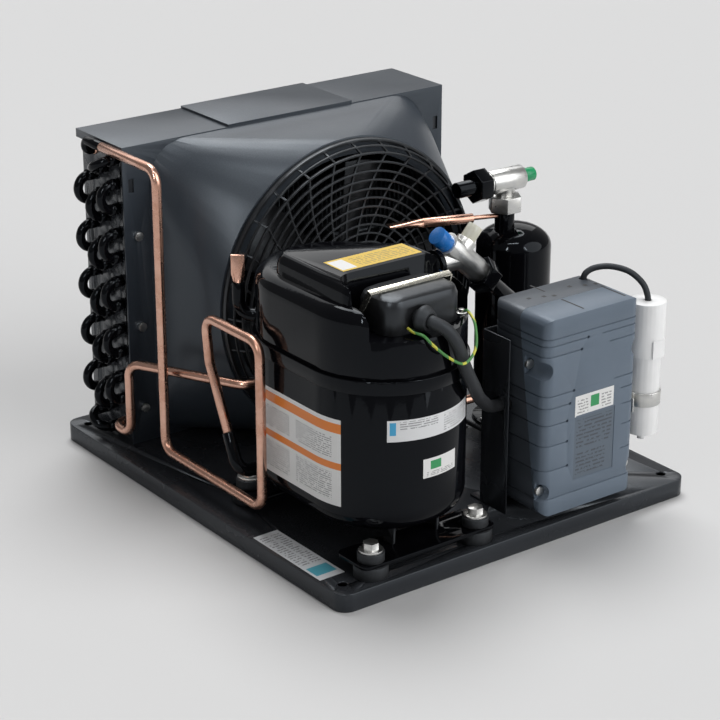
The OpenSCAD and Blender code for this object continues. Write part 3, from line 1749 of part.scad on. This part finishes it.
module capacitor_lead() {
  color(rubber) cord(spline(cap_route, 2), cap_lead_d, 8);
}

base_plate();
base_screws();
compressor_feet();
mount_grommets();
mount_sleeves();
mount_bolts();
mount_nuts();
compressor_lower_shell();
compressor_upper_shell();
weld_band();
terminal_block();
terminal_cover();
bail_strap();
cable_gland();
compressor_lead();
earth_wire();
earth_screw();
process_stub();
process_tube();
discharge_stub();
suction_spud();
suction_valve_body();
suction_valve_cap();
suction_port_cap();
suction_union_nut();
suction_union_stub();
discharge_line();
outlet_line();
fin_pack();
tube_sheets();
coil_tubes();
return_bends();
coil_inlet();
fan_shroud();
shroud_screws();
fan_guard();
motor_bracket();
fan_motor();
fan_shaft();
fan_bush();
fan_wheel();
fan_nut();
motor_lead();
receiver_shell();
receiver_foot();
receiver_adaptor();
liquid_valve_nut();
liquid_valve_body();
liquid_valve_cap();
liquid_union_nut();
liquid_union_stub();
charging_tube();
box_bracket();
box_back();
box_cover();
box_screws();
capacitor_can();
capacitor_boot();
capacitor_clamp();
capacitor_lead();
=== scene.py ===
"""Condensing unit: the looks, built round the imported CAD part."""

import json
import math

import bmesh
import bpy
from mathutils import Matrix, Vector
from mathutils.bvhtree import BVHTree


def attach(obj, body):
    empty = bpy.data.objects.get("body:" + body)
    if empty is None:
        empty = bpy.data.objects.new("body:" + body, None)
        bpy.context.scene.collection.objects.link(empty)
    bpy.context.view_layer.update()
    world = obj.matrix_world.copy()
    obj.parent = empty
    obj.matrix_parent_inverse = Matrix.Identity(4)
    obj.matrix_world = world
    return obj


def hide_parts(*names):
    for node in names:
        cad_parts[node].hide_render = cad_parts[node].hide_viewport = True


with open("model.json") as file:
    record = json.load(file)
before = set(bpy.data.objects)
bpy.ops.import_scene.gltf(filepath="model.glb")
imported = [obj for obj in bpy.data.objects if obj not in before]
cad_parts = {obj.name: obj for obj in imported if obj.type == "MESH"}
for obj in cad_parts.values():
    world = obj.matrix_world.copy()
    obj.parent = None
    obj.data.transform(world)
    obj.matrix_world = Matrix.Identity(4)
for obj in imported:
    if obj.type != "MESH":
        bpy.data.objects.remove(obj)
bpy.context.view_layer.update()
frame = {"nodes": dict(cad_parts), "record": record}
nodes = frame["nodes"]
MM = 0.001


# Camera, fitted to the photograph's view

CAMERA_AZIMUTH = -36.745
CAMERA_ELEVATION = 21.932
CAMERA_DISTANCE = 2.19549
CAMERA_LENS = 110.95
CAMERA_TARGET = Vector((-0.0093, 0.0, 0.11577))


def make_camera():
    azimuth, elevation = math.radians(CAMERA_AZIMUTH), math.radians(CAMERA_ELEVATION)
    back = Vector((
        math.sin(azimuth) * math.cos(elevation),
        -math.cos(azimuth) * math.cos(elevation),
        math.sin(elevation),
    ))
    data = bpy.data.cameras.new("camera")
    data.lens, data.sensor_width = CAMERA_LENS, 36.0
    data.clip_start, data.clip_end = 0.05, 100.0
    camera = bpy.data.objects.new("camera", data)
    camera.location = CAMERA_TARGET + back * CAMERA_DISTANCE
    camera.rotation_euler = (-back).to_track_quat("-Z", "Y").to_euler()
    bpy.context.scene.collection.objects.link(camera)
    bpy.context.scene.camera = camera


# Node materials

class Paint:
    """A procedural material: one Principled shader and the textures that feed it."""

    def __init__(self, name, color, roughness=0.5, metallic=0.0, **inputs):
        self.material = bpy.data.materials.new(name)
        self.material.use_nodes = True
        self.tree = self.material.node_tree
        self.shader = self.tree.nodes["Principled BSDF"]
        self.shader.inputs["Base Color"].default_value = (*color, 1.0)
        self.shader.inputs["Roughness"].default_value = roughness
        self.shader.inputs["Metallic"].default_value = metallic
        for socket, value in inputs.items():
            self.shader.inputs[socket.replace("_", " ")].default_value = value
        self.material.diffuse_color = (*color, 1.0)

    def add(self, kind, settings=None, **inputs):
        node = self.tree.nodes.new(kind)
        for key, value in (settings or {}).items():
            setattr(node, key, value)
        for key, value in inputs.items():
            self.feed(node.inputs[key.replace("_", " ")], value)
        return node

    def feed(self, socket, value):
        if isinstance(value, bpy.types.NodeSocket):
            self.tree.links.new(value, socket)
        else:
            socket.default_value = value

    def noise(self, per_metre, detail=2.0, rough=0.5):
        return self.add(
            "ShaderNodeTexNoise", Vector=self.place(),
            Scale=per_metre, Detail=detail, Roughness=rough,
        ).outputs["Fac"]

    def place(self):
        return self.add("ShaderNodeTexCoord").outputs["Object"]

    def cells(self, per_metre):
        return self.add("ShaderNodeTexVoronoi", Vector=self.place(), Scale=per_metre)

    def ramp(self, value, *stops):
        """A grey ramp; each stop is a place and a shade."""
        node = self.add("ShaderNodeValToRGB", Fac=value)
        points = node.color_ramp.elements
        for point, (at, shade) in zip(points, stops):
            point.position = at
            point.color = (shade, shade, shade, 1)
        return node.outputs["Color"]

    def math(self, operation, a, b=0.0, c=0.0):
        node = self.add("ShaderNodeMath", {"operation": operation})
        for socket, value in zip(node.inputs, (a, b, c)):
            self.feed(socket, value)
        return node.outputs["Value"]

    def mix(self, share, a, b):
        node = self.add("ShaderNodeMix", {"data_type": "RGBA"})
        self.feed(node.inputs["Factor"], share)
        for socket, value in ((node.inputs["A"], a), (node.inputs["B"], b)):
            self.feed(socket, (*value, 1) if isinstance(value, tuple) else value)
        return node.outputs["Result"]

    def color(self, value):
        self.feed(self.shader.inputs["Base Color"], value)

    def rough(self, value):
        self.feed(self.shader.inputs["Roughness"], value)

    def bump(self, height, distance, strength=1.0):
        last = self.shader.inputs["Normal"]
        node = self.add("ShaderNodeBump", Height=height, Distance=distance, Strength=strength)
        if last.links:
            self.tree.links.new(last.links[0].from_socket, node.inputs["Normal"])
        self.tree.links.new(node.outputs["Normal"], last)


COOL = (0.82, 0.91, 1.0, 1.0)  # tint of the sheen on paint and plastic


def enamel(name, color, gloss, dust, peel, shine):
    """Thick sprayed enamel: orange peel, a little dust on top faces, thinner gloss in patches."""
    paint = Paint(name, color, gloss, Specular_IOR_Level=shine, Specular_Tint=COOL)
    patches = paint.noise(9, 4, 0.6)
    specks = paint.noise(900, 2, 0.6)
    up = paint.add("ShaderNodeSeparateXYZ", Vector=paint.add("ShaderNodeNewGeometry").outputs["Normal"])
    top = paint.math("MULTIPLY", paint.math("MAXIMUM", up.outputs["Z"], 0.0), dust)
    dusty = paint.math("MULTIPLY", top, paint.ramp(specks, (0.45, 0.0), (0.75, 1.0)))
    paint.color(paint.mix(dusty, color, tuple(min(1, 3 * c + 0.05) for c in color)))
    paint.rough(paint.math("MULTIPLY_ADD", patches, gloss * 0.7, gloss * 0.65))
    paint.bump(paint.noise(260, 2, 0.5), peel)
    return paint


def moulded(name, color, gloss, grain, per_metre):
    """Injection moulded plastic with a fine spark-eroded grain."""
    paint = Paint(name, color, gloss, Specular_Tint=COOL)
    tone = paint.noise(22, 3, 0.6)
    light = tuple(min(1, c * 1.12 + 0.004) for c in color)
    dark = tuple(c * 0.9 for c in color)
    paint.color(paint.mix(tone, dark, light))
    paint.rough(paint.math("MULTIPLY_ADD", paint.noise(60, 3, 0.6), 0.16, gloss - 0.08))
    paint.bump(paint.noise(per_metre, 2, 0.7), grain)
    return paint


# Slot, material, colour, gloss, dust on top faces, depth of the peel, shine
ENAMELS = (
    ("gloss_black", "gloss_black_enamel", (0.003, 0.003, 0.004), 0.07, 0.01, 0.00003, 0.16),
    ("base_black", "base_powder_coat", (0.024, 0.026, 0.030), 0.26, 0.2, 0.00006, 0.4),
    ("shroud_grey", "shroud_satin", (0.030, 0.037, 0.047), 0.36, 0.2, 0.00005, 0.5),
    ("motor_steel", "motor_paint", (0.02, 0.02, 0.022), 0.35, 0.25, 0.00004, 0.5),
    ("fins", "coated_fins", (0.010, 0.010, 0.011), 0.35, 0.3, 0.00004, 0.5),
)

# Slot, material, colour, gloss, depth of the grain, grain per metre
MOULDINGS = (
    ("box_grey", "box_plastic", (0.122, 0.156, 0.200), 0.42, 0.00003, 1800),
    # box_dark: the same plastic as the cover, painted darker to stand for the shade on the back half
    ("box_dark", "box_back_plastic_painted_shade", (0.050, 0.058, 0.070), 0.42, 0.00003, 1800),
    ("black_plastic", "black_plastic", (0.012, 0.012, 0.013), 0.33, 0.00003, 1800),
    ("rubber", "rubber", (0.014, 0.014, 0.015), 0.55, 0.00004, 1200),
    ("milk_plastic", "milk_plastic", (0.95, 0.95, 0.94), 0.32, 0.00001, 1800),
    ("blue_plastic", "blue_cap", (0.01, 0.16, 0.52), 0.28, 0.00001, 1800),
    ("green_plastic", "green_cap", (0.01, 0.30, 0.11), 0.28, 0.00001, 1800),
    ("cream_plastic", "cream_cap", (0.72, 0.70, 0.58), 0.3, 0.00001, 1800),
)


def zinc_plate():
    """Bright zinc with the faint mosaic of its crystals."""
    paint = Paint("zinc_plate", (0.62, 0.62, 0.60), 0.32, 1.0)
    crystals = paint.cells(420).outputs["Color"]
    paint.color(paint.mix(paint.noise(120, 3), (0.50, 0.51, 0.52), (0.72, 0.71, 0.67)))
    paint.rough(paint.math("MULTIPLY_ADD", crystals, 0.12, 0.26))
    paint.bump(paint.noise(1500, 3, 0.6), 0.00002)
    return paint


def nickel_brass():
    """Thin nickel over brass, warmer where it is worn."""
    paint = Paint("nickel_brass", (0.70, 0.68, 0.60), 0.22, 1.0)
    paint.color(paint.mix(paint.noise(150, 3), (0.62, 0.58, 0.44), (0.80, 0.79, 0.74)))
    paint.rough(paint.math("MULTIPLY_ADD", paint.noise(700, 3), 0.2, 0.14))
    return paint


def drawn_copper():
    """Drawn tube, dulled and darker where it has been handled and brazed."""
    paint = Paint("drawn_copper", (0.66, 0.38, 0.29), 0.28, 1.0)
    stain = paint.ramp(paint.noise(38, 5, 0.65), (0.40, 0.0), (0.70, 1.0))
    fresh = paint.mix(paint.noise(210, 3), (0.60, 0.34, 0.25), (0.76, 0.48, 0.38))
    paint.color(paint.mix(paint.math("MULTIPLY", stain, 0.5), fresh, (0.42, 0.18, 0.10)))
    paint.rough(paint.math("MULTIPLY_ADD", stain, 0.18, 0.20))
    paint.bump(paint.noise(900, 2, 0.6), 0.00001)
    return paint


def earth_sleeve():
    """Green and yellow bands along the wire."""
    paint = Paint("earth_sleeve", (0.35, 0.50, 0.03), 0.4)
    across = paint.add("ShaderNodeSeparateXYZ", Vector=paint.place()).outputs["X"]
    stripe = paint.math("SINE", paint.math("MULTIPLY", across, 500.0))
    paint.color(paint.mix(paint.ramp(stripe, (0.45, 0.0), (0.55, 1.0)),
                          (0.06, 0.25, 0.05), (0.62, 0.60, 0.06)))
    return paint


def make_paints():
    """One paint for each slot of the record."""
    paints = {slot: enamel(*recipe) for slot, *recipe in ENAMELS}
    paints.update({slot: moulded(*recipe) for slot, *recipe in MOULDINGS})
    paints["zinc"] = zinc_plate()
    paints["white_metal"] = nickel_brass()
    paints["copper"] = drawn_copper()
    paints["earth_yellow"] = earth_sleeve()
    return paints


# Cords, along the routes that their solids follow, in millimetres

def catmull(points, steps):
    """A smooth curve through the points, the same one that the solid follows."""
    out = []
    for i in range(len(points) - 1):
        a, b = points[max(i - 1, 0)], points[i]
        c, d = points[i + 1], points[min(i + 2, len(points) - 1)]
        for k in range(steps):
            s = k / steps
            out.append(0.5 * (2 * b + (c - a) * s + (2 * a - 5 * b + 4 * c - d) * s * s
                              + (3 * b - a - 3 * c + d) * s ** 3))
    out.append(points[-1])
    return out


CORD_STEPS, CORD_ROUND = 8, 5


def round_cord(name, route_mm, diameter_mm, paint):
    points = catmull([Vector(p) * MM for p in route_mm], CORD_STEPS)
    data = bpy.data.curves.new(name, "CURVE")
    data.dimensions = "3D"
    data.bevel_depth = diameter_mm * MM / 2
    data.bevel_resolution = CORD_ROUND
    data.use_fill_caps = True
    spline = data.splines.new("POLY")
    spline.points.add(len(points) - 1)
    for point, co in zip(spline.points, points):
        point.co = (*co, 1.0)
    spline.use_smooth = True
    data.materials.append(paint.material)
    piece = bpy.data.objects.new(name, data)
    bpy.context.scene.collection.objects.link(piece)
    return piece


LEAD_ROUTE = [
    (-107.4, -215.05, 250.2), (-106, -221.87, 249.5), (-104.59, -228.69, 248.79),
    (-103.58, -233.57, 248.29), (-95.5, -241.5, 242),
    (-86, -244.5, 227), (-75, -242, 203), (-60, -236, 180), (-41, -221, 159),
    (-20, -204, 142), (-3, -191, 130), (10, -187, 126), (27, -187, 126),
]
EARTH_ROUTE = [
    (-121, -218.7, 243), (-120, -226, 241), (-116, -235, 239.5), (-110, -241.5, 231),
    (-98, -249, 219), (-84, -252.5, 212), (-70, -250, 222), (-63, -240, 240), (-56, -222, 245),
    (-48.5, -207.1, 238.6),
]
MOTOR_ROUTE = [
    (54, 125, 150), (80, 124, 120), (120, 123, 80), (156, 122, 64), (168, 122, 60),
    (188, 122, 60), (198, 110, 50), (186, 88, 28), (160, 66, 23), (128, 34, 22), (118, 0, 22),
    (116, -50, 22), (114, -110, 22), (111, -140, 30), (111, -154, 38), (111, -170, 38),
]
CAPACITOR_ROUTE = [
    (126, -172, 219), (128, -173, 227), (136, -177, 232), (147, -187, 234),
    (157, -202, 231), (162.5, -215, 222), (164, -221, 211), (164, -222, 201),
]


# Node, route, diameter in millimetres, slot
CORDS = (
    ("compressor_lead", LEAD_ROUTE, 12.0, "rubber"),
    ("earth_wire", EARTH_ROUTE, 2.6, "earth_yellow"),
    ("motor_lead", MOTOR_ROUTE, 5.0, "rubber"),
    ("capacitor_lead", CAPACITOR_ROUTE, 6.0, "rubber"),
)


def make_cords(paints):
    for node, route, diameter, slot in CORDS:
        piece = round_cord(node + "_smooth", route, diameter, paints[slot])
        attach(piece, "chassis")
        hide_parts(node)


# Stickers, and dark films of painted shade in the box's vents

WHITE, SILVER, LABEL_GREY = (0.80, 0.80, 0.79), (0.74, 0.75, 0.76), (0.74, 0.76, 0.78)
INK, ORANGE, YELLOW = (0.03, 0.03, 0.035), (0.80, 0.22, 0.02), (0.78, 0.52, 0.03)
GREEN, BLUE, TEAL = (0.03, 0.30, 0.10), (0.05, 0.35, 0.60), (0.10, 0.40, 0.50)
PANEL_GREY, SHADOW = (0.105, 0.135, 0.172), (0.006, 0.006, 0.007)

FILM_GLOSS, PANEL_GLOSS, MARK_GLOSS = 0.32, 0.42, 0.6
FILM_MM, PRINT_MM, MARK_MM = 0.2, 0.05, 0.1  # how far each kind lies off the surface
FILM_CELLS, SLIT_CELLS, HOLE_CELLS = (24, 12), (1, 6), (1, 1)

# The compressor's core: an upright sheet at this X between these two Y, in metres
CORE_X, CORE_Y, CORE_REACH = -0.103, (-0.160, -0.091), 0.14
CAST_BACK, CAST_REACH = 0.03, 0.09
DOWN, REARWARD = (0, 0, -1), (0, 1, 0)


def inside(paint, u, v, window):
    """1 within the (left, right, low, high) shares of the film, 0 outside them."""
    left, right, low, high = window
    across = paint.math("MULTIPLY", paint.math("GREATER_THAN", u, left),
                        paint.math("LESS_THAN", u, right))
    upward = paint.math("MULTIPLY", paint.math("GREATER_THAN", v, low),
                        paint.math("LESS_THAN", v, high))
    return paint.math("MULTIPLY", across, upward)


def printed(name, ground, blocks, lines=(), gloss=FILM_GLOSS):
    """Printed film: a ground with plain blocks and rows of broken rules that stand for print.

    A block is a window and its colour; a set of rules is a window and their count per film.
    """
    paint = Paint(name, ground, gloss)
    across = paint.add("ShaderNodeSeparateXYZ", Vector=paint.add("ShaderNodeTexCoord").outputs["UV"])
    u, v = across.outputs["X"], across.outputs["Y"]
    shade = paint.mix(paint.noise(70, 3, 0.6), tuple(0.93 * c for c in ground), ground)
    for *window, color in blocks:
        shade = paint.mix(inside(paint, u, v, window), shade, color)
    breaks = paint.math("GREATER_THAN", paint.noise(420, 0, 0.5), 0.42)
    for *window, count in lines:
        wave = paint.math("SINE", paint.math("MULTIPLY", v, count * math.tau))
        rules = paint.math("MULTIPLY", paint.math("GREATER_THAN", wave, 0.1), breaks)
        rules = paint.math("MULTIPLY", rules, inside(paint, u, v, window))
        shade = paint.mix(paint.math("MULTIPLY", rules, 0.6), shade, INK)
    paint.color(shade)
    paint.rough(paint.math("MULTIPLY_ADD", paint.noise(300, 2), 0.12, gloss - 0.06))
    paint.bump(paint.noise(500, 2, 0.5), 0.00001)
    return paint


def surface_of(names):
    """The CAD nodes' surface to lay things on, in world metres."""
    corners, faces = [], []
    for name in names:
        node = nodes[name]
        start = len(corners)
        corners += [node.matrix_world @ v.co for v in node.data.vertices]
        faces += [[start + k for k in p.vertices] for p in node.data.polygons]
    return BVHTree.FromPolygons(corners, faces)


def laid(tree, at, way):
    """Where a point meets the surface along the way, or in towards the core without one."""
    if way is None:
        core = Vector((CORE_X, min(max(at.y, CORE_Y[0]), CORE_Y[1]), at.z))
        ray = (core - at).normalized()
        start, reach = core - ray * CORE_REACH, CORE_REACH
    else:
        ray = Vector(way)
        start, reach = at - ray * CAST_BACK, CAST_REACH
    return tree.ray_cast(start, ray, reach)[0] or at, ray


def sticker(name, corners_mm, paint, names, way=None, cells=FILM_CELLS, lift_mm=FILM_MM):
    """A film laid on CAD nodes; its corners run low left, low right, high right, high left."""
    tree = surface_of(names)
    a, b, c, d = (Vector(q) * MM for q in corners_mm)
    mesh = bmesh.new()
    uv = mesh.loops.layers.uv.new("print")
    grid = []
    for j in range(cells[1] + 1):
        row = []
        for i in range(cells[0] + 1):
            s, t = i / cells[0], j / cells[1]
            spot, ray = laid(tree, a.lerp(b, s).lerp(d.lerp(c, s), t), way)
            row.append((mesh.verts.new(spot - ray * lift_mm * MM), (s, t)))
        grid.append(row)
    for j in range(cells[1]):
        for i in range(cells[0]):
            ring = (grid[j][i], grid[j][i + 1], grid[j + 1][i + 1], grid[j + 1][i])
            face = mesh.faces.new([v for v, _ in ring])
            face.smooth = True
            for loop, (_, where) in zip(face.loops, ring):
                loop[uv].uv = where
    data = bpy.data.meshes.new(name)
    mesh.to_mesh(data)
    mesh.free()
    data.materials.append(paint.material)
    piece = bpy.data.objects.new(name, data)
    bpy.context.scene.collection.objects.link(piece)
    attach(piece, "chassis")


def level(x0, x1, y0, y1, z):
    """Corners of a level film, in millimetres."""
    return [(x0, y0, z), (x1, y0, z), (x1, y1, z), (x0, y1, z)]


def facing(x0, x1, z0, z1, y):
    """Corners of an upright film that faces the front, in millimetres."""
    return [(x0, y, z0), (x1, y, z0), (x1, y, z1), (x0, y, z1)]


def upright(x0, y0, x1, y1, z0, z1):
    """Corners of an upright film over the chord between two points, in millimetres."""
    return [(x0, y0, z0), (x1, y1, z0), (x1, y1, z1), (x0, y0, z1)]


SHELLS = ["compressor_lower_shell", "compressor_upper_shell"]
BOX_LIDS = ["box_cover", "box_back"]
BOX_FRONT_Y, BOX_TOP_Z, BASE_TOP_Z = -240, 222, 18

FILMS = (
    {"piece": "compressor_label", "print": "wrap_label_print", "ground": WHITE,
     "blocks": ((0, 1, 0.84, 0.95, ORANGE), (0, 1, 0.42, 0.5, ORANGE)),
     "lines": ((0.08, 0.46, 0.06, 0.38, 40), (0.54, 0.92, 0.06, 0.38, 40),
               (0.08, 0.46, 0.54, 0.8, 40), (0.54, 0.92, 0.54, 0.8, 40)),
     "corners": upright(-173, -61, -172.5, -190.5, 75.3, 159.2), "on": SHELLS},
    {"piece": "compressor_data_sticker", "print": "data_label_print", "ground": SILVER,
     "blocks": ((0.03, 0.1, 0.3, 0.9, BLUE),),
     "lines": ((0.14, 0.5, 0.5, 0.92, 9), (0.56, 0.96, 0.1, 0.9, 9)),
     "corners": upright(-146, -222.6, -54, -218, 142.6, 163), "on": SHELLS},
    {"piece": "compressor_small_sticker", "print": "small_sticker_print", "ground": WHITE,
     "blocks": ((0.2, 0.5, 0.4, 0.85, GREEN),),
     "lines": ((0.1, 0.9, 0.08, 0.3, 12),),
     "corners": upright(-115, -235, -76, -231, 103.5, 122), "on": SHELLS},
    {"piece": "compressor_top_sticker", "print": "top_sticker_print", "ground": YELLOW,
     "blocks": ((0.02, 0.2, 0.1, 0.9, WHITE),),
     "lines": ((0.26, 0.95, 0.15, 0.85, 8),),
     "corners": level(-141, -53, -152, -122, 272), "on": SHELLS, "way": DOWN},
    {"piece": "base_label", "print": "base_label_print", "ground": LABEL_GREY,
     "blocks": ((0.1, 0.9, 0.08, 0.24, TEAL),),
     "lines": ((0.1, 0.45, 0.3, 0.94, 26), (0.55, 0.9, 0.3, 0.94, 26)),
     "corners": [(-206.7, -205, BASE_TOP_Z), (-178.7, -204.5, BASE_TOP_Z),
                 (-179, -98.5, BASE_TOP_Z), (-206.5, -99, BASE_TOP_Z)],
     "on": ["base_plate"], "way": DOWN},
    {"piece": "box_label", "print": "box_label_print", "ground": WHITE,
     "blocks": ((0.4, 0.62, 0.3, 0.85, GREEN),),
     "lines": ((0.06, 0.34, 0.15, 0.85, 7), (0.68, 0.94, 0.15, 0.85, 7)),
     "corners": facing(59.6, 107.6, 119, 139.8, BOX_FRONT_Y), "on": ["box_cover"],
     "way": REARWARD},
    {"piece": "box_panel_film", "print": "box_panel_print", "ground": PANEL_GREY,
     "blocks": (), "gloss": PANEL_GLOSS, "slot": "box_grey", "lift": PRINT_MM,
     "lines": ((0.05, 0.95, 0.5, 0.95, 16), (0.05, 0.8, 0.06, 0.42, 16)),
     "corners": facing(60.5, 109.5, 55.5, 118, BOX_FRONT_Y), "on": ["box_cover"],
     "way": REARWARD},
)

# Painted shade of the slits and small square holes on top of the box, laid as dark films: (x, front y,
# back y) and (x, y), millimetres
SLITS = ((72, -233, -202), (125.5, -231, -198), (73, -178, -157))
HOLES = ((49, -183), (64, -187), (73, -191), (101, -181), (115, -187), (126, -190))
SLIT_HALF, HOLE_HALF = 1, 2


def make_stickers():
    for film in FILMS:
        paint = printed(film["print"], film["ground"], film["blocks"], film["lines"],
                        film.get("gloss", FILM_GLOSS))
        sticker(film["piece"], film["corners"], paint,
                film["on"], film.get("way"), lift_mm=film.get("lift", FILM_MM))


def make_box_vent_shade():
    # Near-black films painted where the vent slits and holes are: painted shade standing for the dark
    # inside them
    dark = printed("vent_shadow", SHADOW, (), gloss=MARK_GLOSS)
    for k, (x, y0, y1) in enumerate(SLITS):
        sticker(f"box_slit_shade_{k}", level(x - SLIT_HALF, x + SLIT_HALF, y0, y1, BOX_TOP_Z), dark,
                BOX_LIDS, DOWN, SLIT_CELLS, MARK_MM)
    for k, (x, y) in enumerate(HOLES):
        corners = level(x - HOLE_HALF, x + HOLE_HALF, y - HOLE_HALF, y + HOLE_HALF, BOX_TOP_Z)
        sticker(f"box_hole_shade_{k}", corners, dark, BOX_LIDS, DOWN, HOLE_CELLS,
                MARK_MM)


# CAD nodes: materials and edges

PLAIN_EDGES = {"fin_pack", "coil_tubes", "return_bends"}
EDGE_WIDTH, EDGE_SEGMENTS, EDGE_ANGLE = 0.0006, 2, math.radians(40)
WELD_GAP = 0.00001


def dress_nodes(paints):
    for row in frame["record"]["subparts"]:
        node = nodes[row["node"]]
        node.data.materials.clear()
        node.data.materials.append(paints[row["material_slot"]].material)
        smooth_edges(node, bevelled=row["node"] not in PLAIN_EDGES)


def smooth_edges(node, bevelled):
    """Joins the split corners of the imported mesh, softens its edges and shades it smooth."""
    weld = node.modifiers.new("weld", "WELD")
    weld.merge_threshold = WELD_GAP
    if bevelled:
        bevel = node.modifiers.new("bevel", "BEVEL")
        bevel.width = EDGE_WIDTH
        bevel.segments = EDGE_SEGMENTS
        bevel.limit_method = "ANGLE"
        bevel.angle_limit = EDGE_ANGLE
        bevel.use_clamp_overlap = True
        bevel.harden_normals = True
    for polygon in node.data.polygons:
        polygon.use_smooth = True


# Stage

FLOOR_HALF, FLOOR_GREY, FLOOR_ROUGHNESS = 300.0, (0.655, 0.655, 0.655), 0.95
SKY, SKY_STRENGTH = (0.76, 0.76, 0.77, 1), 0.30
LAMPS_AIM = Vector((0, 0, 0.15))

# Name, way of the light, strength, angle in degrees
SUNS = (
    ("sun", (-0.28, -0.45, -1.0), 2.1, 36),
    ("fill_sun", (-0.45, 0.80, -0.50), 1.65, 60),
)

# Name, place, size, watts; they show as sheen and highlights only, so the floor stays even
STRIPS = (
    ("left_strip", (-1.5, -0.9, 1.5), (0.12, 0.9), 10.0),
    ("front_strip", (0.2, -2.0, 1.5), (0.10, 0.9), 6.0),
    ("top_strip", (-0.3, -0.5, 2.2), (0.9, 0.10), 7.0),
    ("back_sheen", (1.6, 3.6, 2.6), (6.0, 2.2), 50.0),
)


def make_floor(scene):
    mesh = bpy.data.meshes.new("floor")
    half = FLOOR_HALF
    mesh.from_pydata([(-half, -half, 0), (half, -half, 0), (half, half, 0), (-half, half, 0)],
                     [], [(0, 1, 2, 3)])
    mesh.materials.append(Paint("floor_paint", FLOOR_GREY, FLOOR_ROUGHNESS).material)
    floor = bpy.data.objects.new("floor", mesh)
    scene.collection.objects.link(floor)


def make_sky(scene):
    world = bpy.data.worlds.new("world")
    scene.world = world
    world.use_nodes = True
    background = world.node_tree.nodes["Background"]
    background.inputs["Color"].default_value = SKY
    background.inputs["Strength"].default_value = SKY_STRENGTH


def add_lamp(scene, data, energy, way):
    data.energy = energy
    lamp = bpy.data.objects.new(data.name, data)
    lamp.rotation_euler = way.to_track_quat("-Z", "Y").to_euler()
    scene.collection.objects.link(lamp)
    return lamp


def make_stage():
    scene = bpy.context.scene
    scene.view_settings.view_transform = "Standard"
    make_floor(scene)
    make_sky(scene)
    for name, way, strength, angle in SUNS:
        data = bpy.data.lights.new(name, "SUN")
        data.angle = math.radians(angle)
        add_lamp(scene, data, strength, Vector(way))
    for name, place, size, watts in STRIPS:
        data = bpy.data.lights.new(name, "AREA")
        data.shape = "RECTANGLE"
        data.size, data.size_y = size
        lamp = add_lamp(scene, data, watts, LAMPS_AIM - Vector(place))
        lamp.location = place
        lamp.visible_diffuse = False


make_camera()
paints = make_paints()
make_cords(paints)
make_stickers()
make_box_vent_shade()
dress_nodes(paints)
make_stage()
